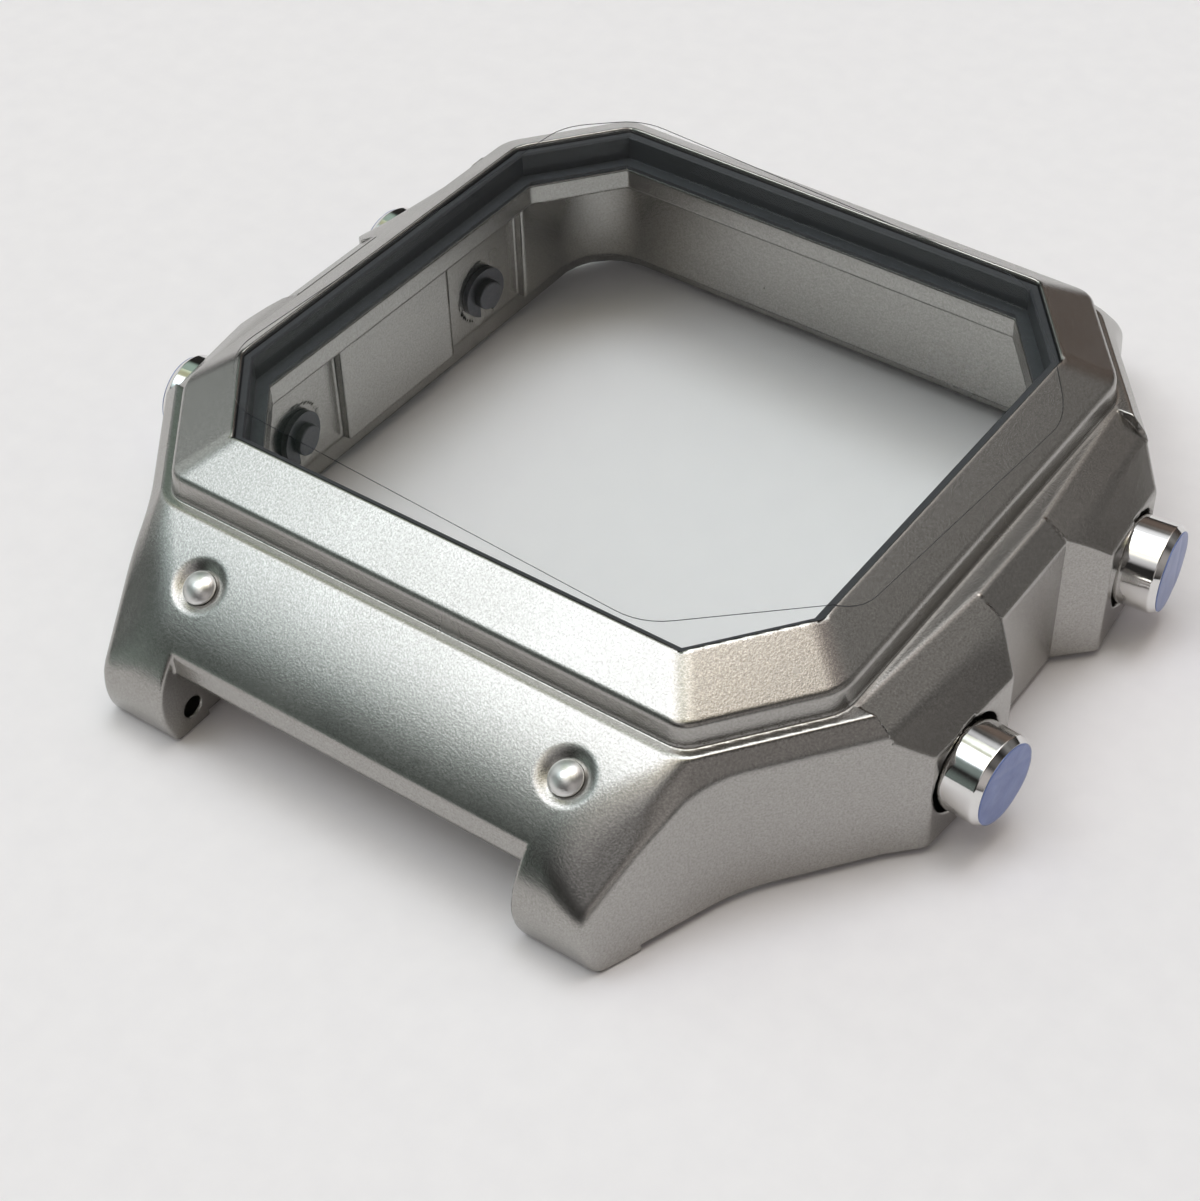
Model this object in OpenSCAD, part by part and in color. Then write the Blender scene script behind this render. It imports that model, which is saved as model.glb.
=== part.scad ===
// Empty watch case for a rectangular watch: body, crystal, gasket, studs and four sprung pushers.
// The case lies on its back. +X is the 3 o'clock side, +Y the 12 o'clock side, and +Z points up
// through the crystal. The origin is on the table, below the middle of the case.
// The metal is symmetric left to right and end to end, so places are given for the quarter where
// x and y are positive, and four_ways() repeats them. The pushers on the 9 o'clock side stand out less.

/* [Overall] */
// Length over the lug tips
overall_length = 45; // [44:0.1:47]
// Height of the top edge of the bezel above the table
bezel_top = 10.42; // [10:0.1:12]
// Height of the shoulder that the bezel stands on
shoulder_height = 7.94; // [7.8:0.02:8.2]
// Height of the underside, where the case back lies, above the lug pads
underside = 0.3; // [0.1:0.05:0.5]

/* [Bezel and window] */
// Width of the window at the top edge of the bezel
window_width = 29.3; // [28:0.1:30]
// Length of the window at the top edge of the bezel
window_length = 28.38; // [27:0.1:29]
// Distance across the cut corners of the window
window_across_corners = 35.06; // [34:0.1:36]
// Width of the bezel at its outer edge
bezel_width = 33.52; // [33:0.1:34]
// Length of the bezel at its outer edge
bezel_length = 32.98; // [32.4:0.1:33.4]
// Distance across the cut corners of the bezel's outer edge
bezel_across_corners = 40.44; // [40:0.1:41]
// Height of the bezel's outer edge above the table
bezel_edge_height = 9.03; // [8.8:0.05:9.4]
// Direction that each cut corner faces, from the X axis
corner_heading = 38; // [36:0.5:40]

/* [Shoulder and sides] */
// Length between the rims where the two end slopes start
rim_length = 33.94; // [33.8:0.1:34.4]
// Width of the case between the guards
waist_width = 37.94; // [37:0.1:38.4]
// Distance across the corner walls
corner_across = 42.9; // [42.6:0.1:43.4]
// Width of the bevel along the top of the corner walls, in plan
corner_bevel = 0.65; // [0.4:0.05:0.8]
// Drop of the bevel along the top of the corner walls
corner_bevel_drop = 0.89; // [0.6:0.05:1.1]
// Width of the bevel between the guards, in plan
waist_bevel = 1.12; // [0.8:0.05:1.3]
// Drop of the bevel between the guards
waist_bevel_drop = 0.86; // [0.6:0.05:1.1]

/* [Lugs] */
// Gap between the two lugs at each end, for the strap
lug_gap = 18; // [17:0.1:18.4]
// Width of each lug at its tip
lug_tip_width = 3.35; // [3:0.05:3.8]
// Angle by which the outer side of a lug spreads towards the case
lug_spread = 20.7; // [18:0.1:22]
// Height of the soft edge where the end slope turns into the lug's front
lug_nose_height = 3.2; // [2.9:0.05:3.4]
// Angle of the end slope where it leaves the shoulder
end_slope_start = 30; // [27:1:33]
// Angle of the end slope where it meets the lug's front
end_slope_end = 70; // [66:1:74]
// Distance from the lug tips back to the start of the slanted edge along each lug's top
lug_bevel_place = 4.47; // [4.2:0.05:4.7]
// Drop of that slanted edge below the shoulder, where it starts
lug_bevel_drop = 1.04; // [0.9:0.02:1.2]
// Direction that the slanted edge faces, from the X axis
lug_bevel_heading = 67.7; // [66:0.1:69]
// Angle of the slanted edge below the horizontal
lug_bevel_fall = 47.1; // [45:0.1:49]
// Length of each lug pad, which stands on the table
lug_pad_length = 2.55; // [2:0.05:3]
// Height of the spring-bar holes above the table
bar_hole_height = 1.2; // [1.1:0.05:1.4]
// Distance from the lug tips back to the spring-bar holes
bar_hole_setback = 1.7; // [1.5:0.05:1.9]
// Diameter of the spring-bar holes in the lugs
bar_hole_diameter = 1; // [0.8:0.05:1.1]
// Depth of the spring-bar holes in the lugs at the 12 o'clock end
bar_hole_depth_top = 1.6; // [1:0.1:1.8]
// Depth of the spring-bar holes in the lugs at the 6 o'clock end
bar_hole_depth_bottom = 1.4; // [1:0.1:1.8]
// Radius of the strap recess around the spring bar
strap_recess_radius = 2.45; // [2.3:0.05:2.6]
// Thickness of the lip over the strap recess, back from the lug tips
strap_lip_setback = 1.15; // [1:0.05:1.3]

/* [Studs] */
// Distance between the two studs at each end
stud_spacing = 18.54; // [17.5:0.1:19.5]
// Distance from the shoulder rim to the studs, along the case
stud_setback = 2.14; // [1.9:0.02:2.3]
// Tilt of the studs, which stand square on the end slope
stud_tilt = 33; // [30:1:36]
// Diameter of the stud's dome
stud_dome_diameter = 1.45; // [1.2:0.05:1.6]
// Diameter of the dish that the stud sits in
stud_dish_diameter = 2.3; // [2:0.05:2.6]
// Depth of the dish
stud_dish_depth = 0.3; // [0.2:0.05:0.4]
// Height of the dome above its collar
stud_dome_rise = 0.32; // [0.2:0.02:0.4]
// Height of the collar under the dome
stud_collar_height = 0.14; // [0.08:0.02:0.2]
// Diameter of the stud's shank
stud_shank_diameter = 0.9; // [0.7:0.05:1]
// Length of the shank below the dish
stud_shank_length = 1.6; // [1:0.1:2]

/* [Guards] */
// Distance from the middle of the case to a guard's face, at the pusher's axis
guard_reach = 20.2; // [19.9:0.05:20.5]
// Place along the case where a guard starts, towards its end
guard_outer_root = 10.87; // [10.7:0.02:11]
// Place along the case where a guard starts, towards the waist
guard_inner_root = 2.8; // [2.4:0.1:3]
// Length of a guard's face from the pusher's axis towards its end
guard_face_outer = 2.3; // [2.2:0.05:2.5]
// Length of a guard's face from the pusher's axis towards the waist
guard_face_inner = 3; // [2.7:0.05:3.2]
// Distance from the middle of the case to the guard's rim, at the pusher's axis
guard_rim_reach = 17.36; // [17.2:0.02:17.6]
// Angle of the guard's upper facet below the horizontal
guard_upper_slope = 31; // [28:1:34]
// Distance from the middle of the case to the ridge between a guard's two facets
guard_ridge_reach = 18.85; // [18.6:0.05:19.1]
// Angle of the guard's lower facet below the horizontal
guard_lower_slope = 42; // [38:1:46]

/* [Pushers] */
// Distance of each pusher's axis from the middle of the case at the guard's face
pusher_place = 7.29; // [7.1:0.01:7.5]
// Height of the pusher axes above the table
pusher_height = 3.5; // [3.3:0.05:3.7]
// Angle by which the pushers splay outwards
pusher_splay = 5.34; // [4:0.02:6]
// Diameter of a pusher's head
head_diameter = 4.06; // [3.8:0.02:4.2]
// Diameter of the flat end of a pusher's head
head_face_diameter = 3.66; // [3.4:0.02:3.7]
// Length of the chamfer around the head's flat end
head_chamfer = 0.3; // [0.2:0.05:0.4]
// Distance that the heads on the 3 o'clock side stand out of the guards
head_protrusion = 1.82; // [1.7:0.02:2]
// Distance that the heads on the 9 o'clock side stand out of the guards
left_protrusion = 1.1; // [1.04:0.02:1.4]
// Length of the head inside the guard
head_engagement = 0.9; // [0.7:0.05:1.1]
// Travel of a pusher
pusher_travel = 0.9; // [0.6:0.05:1]
// Gap around the head in its counterbore
head_clearance = 0.24; // [0.15:0.01:0.28]
// Room behind a pressed head for the closed spring
closed_spring_room = 1.25; // [1.1:0.05:1.4]
// Diameter of a pusher's stem
stem_diameter = 1.5; // [1.3:0.05:1.7]
// Gap around the stem in its bore
stem_clearance = 0.05; // [0.03:0.01:0.08]
// Thickness of the protective disc on a pusher's face
disc_thickness = 0.05; // [0.03:0.01:0.08]

/* [Springs, seals and clips] */
// Diameter of the spring wire
spring_wire = 0.2; // [0.16:0.01:0.22]
// Number of turns of a return spring
spring_turns = 3; // [2:0.5:3]
// Diameter of a return spring over the middle of its wire
spring_diameter = 2.7; // [2.4:0.05:2.9]
// Depth of the seal's groove in the stem
seal_groove_depth = 0.22; // [0.15:0.01:0.25]
// Length of the seal along the stem
seal_length = 0.42; // [0.3:0.02:0.5]
// Distance from the counterbore's floor to the seal
seal_setback = 0.7; // [0.3:0.1:0.8]
// Outer diameter of a retaining clip
clip_diameter = 2.6; // [2.4:0.1:3]
// Thickness of a retaining clip
clip_thickness = 0.3; // [0.2:0.02:0.36]
// Depth of the clip's groove in the stem
clip_groove_depth = 0.25; // [0.2:0.01:0.3]
// Depth of the clip's seat below the wall of the pocket
clip_seat_cut = 0.03; // [0:0.01:0.08]
// Length of the stem beyond its clip
stem_tail = 0.35; // [0.2:0.05:0.5]

/* [Crystal and gasket] */
// Thickness of the crystal
crystal_thickness = 1.2; // [1:0.05:1.3]
// Depth of the crystal's face below the bezel's top edge
crystal_recess = 0.3; // [0.2:0.05:0.4]
// Width of the gasket between the crystal and the bezel
gasket_width = 0.4; // [0.3:0.05:0.5]
// Thickness of the gasket's foot under the crystal
gasket_foot = 0.2; // [0.15:0.01:0.25]
// Width of the lip that the crystal and gasket sit on
seat_lip = 1; // [0.8:0.05:1.1]
// Thickness of that lip
seat_lip_thickness = 1.1; // [0.9:0.05:1.2]

/* [Crystal film] */
// Width of the protective film on the crystal
film_width = 30.3; // [29.9:0.1:30.6]
// Length of the protective film
film_length = 27.8; // [27.4:0.1:28.4]
// Distance across the film's cut corners on the 3 o'clock side
film_across_right_corners = 32.6; // [32:0.1:35]
// Distance across the film's cut corners on the 9 o'clock side
film_across_left_corners = 37.2; // [36:0.1:38]
// Direction that the film's cut corners face, from its own X axis
film_corner_heading = 44.5; // [43:0.5:46]
// Thickness of the film
film_thickness = 0.05; // [0.04:0.01:0.08]
// Angle by which the film is turned clockwise on the crystal
film_turn = 3; // [0:0.1:4]
// Shift of the film towards the 3 o'clock side, before it is turned
film_shift_x = 0.7; // [0.5:0.05:1]
// Shift of the film towards the 12 o'clock side, before it is turned
film_shift_y = 0.45; // [0:0.05:0.6]

/* [Inside] */
// Width of the movement space between the side walls
cavity_width = 29.2; // [28.8:0.1:29.4]
// Length of the movement space
cavity_length = 31.2; // [30.6:0.1:31.6]
// Radius of the corners of the movement space
cavity_corner_radius = 3; // [2.5:0.1:4]
// Thickness of the side walls at the pushers, from a guard's face to the pocket behind it
pusher_wall = 5.1; // [5:0.05:5.3]
// Place along the case where each pocket starts
pocket_start = 3.9; // [3.6:0.1:4.4]
// Place along the case where each pocket ends
pocket_end = 9.7; // [9.3:0.1:10]
// Width of the wider opening for the case back
back_opening_width = 30.4; // [30:0.1:30.8]
// Length of the wider opening for the case back
back_opening_length = 33.2; // [32.8:0.1:33.4]
// Depth of the wider opening for the case back
back_opening_depth = 1.2; // [0.8:0.1:1.3]
// Spacing of the case-back screw holes across the case
back_screw_spacing_x = 22.6; // [22.2:0.1:23]
// Spacing of the case-back screw holes along the case
back_screw_spacing_y = 36.2; // [35.8:0.1:36.4]
// Diameter of the case-back screw holes
back_screw_diameter = 1.2; // [1:0.05:1.4]
// Depth of the case-back screw holes
back_screw_depth = 2.6; // [2:0.1:3]

/* [Hidden] */

$fn = 64;

// Length by which a cut runs past the surface that it opens
past = 1;
// Size of the blocks that cut away everything on one side of a plane
block = 60;

// Half sizes of the body
tip_y = overall_length / 2;
rim_y = rim_length / 2;
waist_x = waist_width / 2;
corner_wall = corner_across / 2;
lug_inner_x = lug_gap / 2;
lug_tip_x = lug_inner_x + lug_tip_width;

// The guard's face runs square to the pusher's axis
guard_face = [
    [guard_reach - guard_face_outer * sin(pusher_splay),
     pusher_place + guard_face_outer * cos(pusher_splay)],
    [guard_reach + guard_face_inner * sin(pusher_splay),
     pusher_place - guard_face_inner * cos(pusher_splay)]];

// The end slope is a smooth curve from the rim to the soft edge on the lug's nose, and a second
// curve goes round the lug's tip to its pad
tip_bulge = 0.2;
nose_y = tip_y - tip_bulge;
pad_corner_y = tip_y - 0.65;
tip_pull = tip_bulge + sqrt(tip_bulge * (tip_bulge + nose_y - pad_corner_y));
curve_steps = 8;
rim_point = [rim_y, shoulder_height];
nose_point = [nose_y, lug_nose_height];
slope_knee = meeting_point(rim_point, -end_slope_start, nose_point, -end_slope_end);
tip_knee = [nose_y + tip_pull, lug_nose_height / 2];

// Inward lean of a lug's side between the pad and the slanted edge
lug_side_lean = 0.55;

// Length by which the cut for a pocket reaches into the movement space
pocket_reach = 3;

// Spring bars
bar_y = tip_y - bar_hole_setback;
strap_lip_y = tip_y - strap_lip_setback;

// Crystal, gasket and the lip they sit on
crystal_top = bezel_top - crystal_recess;
crystal_bottom = crystal_top - crystal_thickness;
seat_height = crystal_bottom - gasket_foot;
cavity_top = seat_height - seat_lip_thickness;

// Places along a pusher's own axis, counted outwards from the guard's face
counterbore_depth = head_engagement + pusher_travel + closed_spring_room;
head_back_at = -head_engagement;
counterbore_floor_at = -counterbore_depth;
seal_at = counterbore_floor_at - seal_setback;
clip_seat_depth = pusher_wall / cos(pusher_splay) + clip_seat_cut;
clip_gap = 0.02;
clip_at = -clip_seat_depth - clip_gap;
clip_groove_play = 0.02;
stem_end_at = clip_at - clip_thickness - clip_groove_play - stem_tail;
head_radius = head_diameter / 2;
stem_radius = stem_diameter / 2;
stem_bore_radius = stem_radius + stem_clearance;
seal_groove_play = 0.04;
seal_groove_radius = stem_radius - seal_groove_depth;
seal_wall_gap = 0.02;
clip_inner_radius = stem_radius - clip_groove_depth + clip_groove_play;
clip_opening = 1.6 * clip_inner_radius;
clip_pocket_play = 0.3;

// Return spring: it fills the counterbore behind the head, less a little at each end
spring_end_gap = 0.02;
spring_length = counterbore_depth - head_engagement - 2 * spring_end_gap;
spring_pitch = (spring_length - spring_wire) / spring_turns;
spring_rings_per_turn = 8;
spring_wire_sides = 6;

// Stud seats on the end slope
stud_collar_gap = 0.02;
stud_y = rim_y + stud_setback;
stud_z = curve_height(stud_y, rim_point, slope_knee, nose_point);

// Point where a line through a, falling at angle_a, meets one through b, falling at angle_b
function meeting_point(a, angle_a, b, angle_b) =
    let (x = (b.y - a.y + a.x * tan(angle_a) - b.x * tan(angle_b)) / (tan(angle_a) - tan(angle_b)))
    [x, a.y + (x - a.x) * tan(angle_a)];

// Point at share t along the smooth curve from a to c that the point b pulls towards itself
function on_curve(t, a, b, c) = (1 - t) * (1 - t) * a + 2 * t * (1 - t) * b + t * t * c;
function curve(a, b, c) = [for (i = [0:curve_steps]) on_curve(i / curve_steps, a, b, c)];

// Height of that curve at the place y
function curve_share(y, a, b, c) =
    let (k = a.x - 2 * b.x + c.x, m = b.x - a.x, root = sqrt(m * m - k * (a.x - y)))
    (root - m) / k;
function curve_height(y, a, b, c) = on_curve(curve_share(y, a, b, c), a, b, c).y;

// A quarter of an eight-sided outline, with its cut corner at a distance from the middle
function octagon_quarter(half_x, half_y, corner, heading = corner_heading) = [
    [half_x, (corner - half_x * cos(heading)) / sin(heading)],
    [(corner - half_y * sin(heading)) / cos(heading), half_y]];
function flip_x(points) = [for (i = [len(points) - 1:-1:0]) [-points[i].x, points[i].y]];
function flip_y(points) = [for (i = [len(points) - 1:-1:0]) [points[i].x, -points[i].y]];
function all_round(quarter) = let (half = concat(quarter, flip_x(quarter))) concat(half, flip_y(half));
function octagon(half_x, half_y, corner) = all_round(octagon_quarter(half_x, half_y, corner));
function window(inset) =
    octagon(window_width / 2 - inset, window_length / 2 - inset, window_across_corners / 2 - inset);

// Where the lug's side meets the corner wall, and where the corner wall meets the guard
lug_reach = lug_tip_x + tan(lug_spread) * tip_y;
lug_root_y = (cos(corner_heading) * lug_reach - corner_wall)
    / (cos(corner_heading) * tan(lug_spread) - sin(corner_heading));
lug_root = [lug_reach - tan(lug_spread) * lug_root_y, lug_root_y];
guard_root = [(corner_wall - sin(corner_heading) * guard_outer_root) / cos(corner_heading),
    guard_outer_root];

plan_quarter = [[waist_x, guard_inner_root], guard_face[1], guard_face[0], guard_root, lug_root,
    [lug_tip_x, tip_y + past]];

module four_ways() {
    for (x_side = [0, 1]) mirror([x_side, 0, 0])
        for (y_side = [0, 1]) mirror([0, y_side, 0]) children();
}

// Places a quarter's piece at one of the four corners
module at_corner(right, top) {
    mirror([right ? 0 : 1, 0, 0]) mirror([0, top ? 0 : 1, 0]) children();
}

// Everything above a plane through a point. The plane falls at an angle towards a heading.
module above_plane(point, heading, fall) {
    translate(point) rotate([0, fall, heading]) translate([-block / 2, -block / 2, 0]) cube(block);
}

// Puts the children's Z axis on the pusher's axis, from the guard's face outwards
module on_pusher_axis() {
    translate([guard_reach, pusher_place, pusher_height]) rotate([0, 90, pusher_splay]) children();
}

module on_stud_axis() {
    translate([stud_spacing / 2, stud_y, stud_z]) rotate([-stud_tilt, 0, 0]) children();
}

module rounded_box(width, length, radius, low, high) {
    translate([0, 0, low]) linear_extrude(high - low) union() {
        square([width, length - 2 * radius], center = true);
        square([width - 2 * radius, length], center = true);
        for (x_side = [-1, 1], y_side = [-1, 1])
            translate([x_side * (width / 2 - radius), y_side * (length / 2 - radius)]) circle(radius);
    }
}

// Side view of the case along X: the end slopes, the lug tips and the flat pads
module end_profile() {
    front = concat(curve(rim_point, slope_knee, nose_point),
        [for (i = [1:curve_steps]) on_curve(i / curve_steps, nose_point, tip_knee, [pad_corner_y, 0])]);
    rotate([90, 0, 90]) linear_extrude(block, center = true) polygon(concat(front, flip_x(front)));
}

// Slope around one edge of the bezel, from its outer edge up to the window
module bezel_slope(heading, outer, inner) {
    above_plane([outer * cos(heading), outer * sin(heading), bezel_edge_height], heading,
        atan2(bezel_top - bezel_edge_height, outer - inner));
}

module bezel() {
    difference() {
        translate([0, 0, shoulder_height - past]) linear_extrude(bezel_top - shoulder_height + past)
            polygon(octagon(bezel_width / 2, bezel_length / 2, bezel_across_corners / 2));
        for (side = [0, 180]) {
            bezel_slope(side, bezel_width / 2, window_width / 2);
            bezel_slope(side + 90, bezel_length / 2, window_length / 2);
        }
        four_ways() bezel_slope(corner_heading, bezel_across_corners / 2, window_across_corners / 2);
    }
}

// Bevel along the top of a corner wall
module corner_bevel_cut() {
    reach = corner_wall - corner_bevel;
    above_plane([reach * cos(corner_heading), reach * sin(corner_heading), shoulder_height],
        corner_heading, atan2(corner_bevel_drop, corner_bevel));
}

// Slanted outer edge along the top of a lug. It starts at one point on the lug's side, near its root.
module lug_bevel_cut() {
    side_x = lug_tip_x + lug_bevel_place * tan(lug_spread) - lug_side_lean;
    above_plane([side_x, tip_y - lug_bevel_place, shoulder_height - lug_bevel_drop],
        lug_bevel_heading, lug_bevel_fall);
}

// What lies above a guard's two facets
module guard_roof_cut() {
    ridge_drop = (guard_ridge_reach - guard_rim_reach) * tan(guard_upper_slope);
    intersection() {
        translate([guard_rim_reach - past, guard_inner_root, underside])
            cube([block, guard_outer_root - guard_inner_root, block]);
        union() {
            above_plane([guard_rim_reach, pusher_place, shoulder_height], pusher_splay,
                guard_upper_slope);
            above_plane([guard_ridge_reach, pusher_place, shoulder_height - ridge_drop],
                pusher_splay, guard_lower_slope);
        }
    }
}

// What lies above the bevel between the guards, on the 3 o'clock side
module waist_roof_cut() {
    edge = shoulder_height - waist_bevel_drop;
    translate([0, -guard_inner_root, 0]) rotate([90, 0, 0]) mirror([0, 0, 1])
        linear_extrude(2 * guard_inner_root)
            polygon([[waist_x - waist_bevel, shoulder_height], [waist_x, edge],
                [waist_x + past, edge], [waist_x + past, shoulder_height + past],
                [waist_x - waist_bevel, shoulder_height + past]]);
}

// The space for the strap's end between two lugs
module strap_notch() {
    translate([-lug_inner_x, strap_lip_y, -past]) cube([lug_gap, block, block]);
    translate([-lug_inner_x, bar_y, bar_hole_height]) rotate([0, 90, 0])
        cylinder(h = lug_gap, r = strap_recess_radius);
    translate([-lug_inner_x, bar_y - strap_recess_radius, -past])
        cube([lug_gap, strap_recess_radius + past, bar_hole_height + past]);
}

// The two blind holes that face each other across the strap gap at one end
module bar_holes(depth) {
    translate([0, bar_y, bar_hole_height]) rotate([0, 90, 0])
        cylinder(h = lug_gap + 2 * depth, d = bar_hole_diameter, center = true);
}

// Radius of a ball whose cap has the given base radius and height
function ball_radius(base, height) = (base * base + height * height) / (2 * height);
function seat_ball() = ball_radius(stud_dish_diameter / 2, stud_dish_depth);

module stud_seat() {
    on_stud_axis() {
        translate([0, 0, seat_ball() - stud_dish_depth]) sphere(seat_ball());
        translate([0, 0, -stud_dish_depth - stud_shank_length])
            cylinder(h = stud_shank_length + stud_dish_depth, d = stud_shank_diameter);
    }
}

// Counterbore for the head and spring, bore for the stem, and seat for the clip
module pusher_bore() {
    on_pusher_axis() {
        translate([0, 0, counterbore_floor_at])
            cylinder(h = counterbore_depth + past, r = head_radius + head_clearance);
        translate([0, 0, -clip_seat_depth - past])
            cylinder(h = clip_seat_depth, r = stem_bore_radius);
        translate([0, 0, -clip_seat_depth - past])
            cylinder(h = past, r = clip_diameter / 2 + clip_pocket_play);
    }
}

// The space for the movement, its pockets at the pushers, and the opening for the case back
module inside() {
    rounded_box(cavity_width, cavity_length, cavity_corner_radius, -past, cavity_top);
    rounded_box(back_opening_width, back_opening_length, cavity_corner_radius,
        -past, underside + back_opening_depth);
    four_ways() translate([guard_reach - pusher_wall - pocket_reach, pocket_start, 0])
        cube([pocket_reach, pocket_end - pocket_start, cavity_top]);
}

// Seat and opening for the crystal
module crystal_seat() {
    translate([0, 0, seat_height]) linear_extrude(block) polygon(window(0));
    translate([0, 0, cavity_top - past]) linear_extrude(block) polygon(window(seat_lip));
}

module case_back_holes() {
    four_ways() translate([back_screw_spacing_x / 2, back_screw_spacing_y / 2, -past])
        cylinder(h = back_screw_depth + underside + past, d = back_screw_diameter);
}

module case_body() {
    color([0.62, 0.60, 0.57]) difference() {
        union() {
            difference() {
                intersection() {
                    linear_extrude(shoulder_height) polygon(all_round(plan_quarter));
                    end_profile();
                }
                four_ways() {
                    corner_bevel_cut();
                    lug_bevel_cut();
                    guard_roof_cut();
                }
                for (x_side = [0, 1]) mirror([x_side, 0, 0]) waist_roof_cut();
            }
            bezel();
        }
        translate([-block / 2, lug_pad_length - tip_y, -past])
            cube([block, overall_length - 2 * lug_pad_length, underside + past]);
        for (y_side = [0, 1]) mirror([0, y_side, 0]) strap_notch();
        bar_holes(bar_hole_depth_top);
        mirror([0, 1, 0]) bar_holes(bar_hole_depth_bottom);
        four_ways() {
            stud_seat();
            pusher_bore();
        }
        inside();
        crystal_seat();
        case_back_holes();
    }
}

module crystal() {
    color([0.85, 0.92, 0.95, 0.35]) translate([0, 0, crystal_bottom])
        linear_extrude(crystal_thickness) polygon(window(gasket_width));
}

module crystal_gasket() {
    color([0.08, 0.09, 0.1]) difference() {
        translate([0, 0, seat_height]) linear_extrude(crystal_top - seat_height) polygon(window(0));
        translate([0, 0, crystal_bottom]) linear_extrude(block) polygon(window(gasket_width));
        translate([0, 0, seat_height - past]) linear_extrude(block) polygon(window(seat_lip));
    }
}

// Outline of the film. Its corners on the 3 o'clock side are cut back further than the others.
function film_quarter(across) =
    octagon_quarter(film_width / 2, film_length / 2, across / 2, film_corner_heading);
function film_half() =
    concat(film_quarter(film_across_right_corners), flip_x(film_quarter(film_across_left_corners)));

// Everything below the bezel's top edge and its 3 o'clock slope, raised by a height
module below_bezel_top(raised) {
    translate([0, 0, raised]) difference() {
        translate([-block / 2, -block / 2, 0]) cube([block, block, bezel_top]);
        bezel_slope(0, bezel_width / 2, window_width / 2);
    }
}

// The film lies level over the crystal, and its 3 o'clock side bends down along the bezel's slope
module crystal_film() {
    color([0.8, 0.85, 0.88, 0.2]) intersection() {
        rotate([0, 0, -film_turn]) translate([film_shift_x, film_shift_y, shoulder_height])
            linear_extrude(block) polygon(concat(film_half(), flip_y(film_half())));
        difference() {
            below_bezel_top(film_thickness);
            below_bezel_top(0);
        }
    }
}

// A dome on a short shank, pressed into its seat. The dome stands on a low collar, just clear of
// the dish's sloping side.
module stud() {
    dome_radius = stud_dome_diameter / 2;
    collar_foot = seat_ball() - stud_dish_depth
        - sqrt(pow(seat_ball(), 2) - dome_radius * dome_radius) + stud_collar_gap;
    collar_top = collar_foot + stud_collar_height;
    ball = ball_radius(dome_radius, stud_dome_rise);
    color([0.85, 0.85, 0.84]) on_stud_axis() {
        translate([0, 0, -stud_dish_depth - stud_shank_length])
            cylinder(h = collar_foot + stud_dish_depth + stud_shank_length, d = stud_shank_diameter);
        translate([0, 0, collar_foot]) cylinder(h = stud_collar_height, r = dome_radius);
        intersection() {
            translate([0, 0, collar_top + stud_dome_rise - ball]) sphere(ball);
            translate([0, 0, collar_top]) cylinder(h = stud_dome_rise, r = dome_radius);
        }
    }
}

// Round head and grooved stem, turned from one piece
module pusher(head_face_at) {
    seal_low = seal_at - seal_length / 2 - seal_groove_play;
    seal_high = seal_at + seal_length / 2 + seal_groove_play;
    clip_low = clip_at - clip_thickness - clip_groove_play;
    clip_high = clip_at + clip_groove_play;
    seal_floor = seal_groove_radius;
    clip_floor = stem_radius - clip_groove_depth;
    color([0.82, 0.82, 0.83]) on_pusher_axis() rotate_extrude() polygon([
        [0, head_face_at], [head_face_diameter / 2, head_face_at],
        [head_radius, head_face_at - head_chamfer], [head_radius, head_back_at],
        [stem_radius, head_back_at], [stem_radius, seal_high], [seal_floor, seal_high],
        [seal_floor, seal_low], [stem_radius, seal_low], [stem_radius, clip_high],
        [clip_floor, clip_high], [clip_floor, clip_low], [stem_radius, clip_low],
        [stem_radius, stem_end_at], [0, stem_end_at]]);
}

module pusher_film(head_face_at) {
    color([0.42, 0.48, 0.7]) on_pusher_axis() translate([0, 0, head_face_at])
        cylinder(h = disc_thickness, d = head_face_diameter);
}

// Rubber ring, squeezed between the stem's groove and the bore
module seal() {
    width = stem_bore_radius - seal_wall_gap - seal_groove_radius;
    color([0.1, 0.1, 0.1]) on_pusher_axis() rotate_extrude()
        translate([seal_groove_radius + width / 2, seal_at])
            union() {
                square([width, seal_length - width], center = true);
                for (end = [-1, 1]) translate([0, end * (seal_length - width) / 2]) circle(width / 2);
            }
}

// Open ring that snaps into the stem's inner groove
module clip() {
    color([0.35, 0.35, 0.36]) on_pusher_axis() translate([0, 0, clip_at - clip_thickness])
        difference() {
            cylinder(h = clip_thickness, d = clip_diameter);
            translate([0, 0, -past]) cylinder(h = clip_thickness + 2 * past, r = clip_inner_radius);
            translate([0, -clip_opening / 2, -past])
                cube([clip_diameter, clip_opening, clip_thickness + 2 * past]);
        }
}

// Middle of the spring's wire after a share of its turns
function spring_angle(ring) = 360 * ring / spring_rings_per_turn;
function spring_rise(ring) = counterbore_floor_at + spring_end_gap + spring_wire / 2
    + spring_pitch * ring / spring_rings_per_turn;
function spring_point(ring, side) =
    let (turn = spring_angle(ring), around = 360 * side / spring_wire_sides,
        r = spring_diameter / 2 + spring_wire / 2 * cos(around))
    [r * cos(turn), r * sin(turn), spring_rise(ring) + spring_wire / 2 * sin(around)];

// Coil of round wire: rings of six sides joined by triangles, closed at both ends
module spring() {
    last = round(spring_turns * spring_rings_per_turn);
    sides = spring_wire_sides;
    points = [for (ring = [0:last], side = [0:sides - 1]) spring_point(ring, side)];
    walls = [for (ring = [0:last - 1], side = [0:sides - 1])
        let (a = ring * sides + side, b = ring * sides + (side + 1) % sides)
        each [[a, b, a + sides], [b, b + sides, a + sides]]];
    start = [for (side = [1:sides - 2]) [0, side + 1, side]];
    end = [for (side = [1:sides - 2]) [last * sides, last * sides + side, last * sides + side + 1]];
    color([0.7, 0.7, 0.68]) on_pusher_axis() polyhedron(points, concat(walls, start, end));
}
echo(least_gap_between_spring_turns = spring_pitch - spring_wire);

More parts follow.
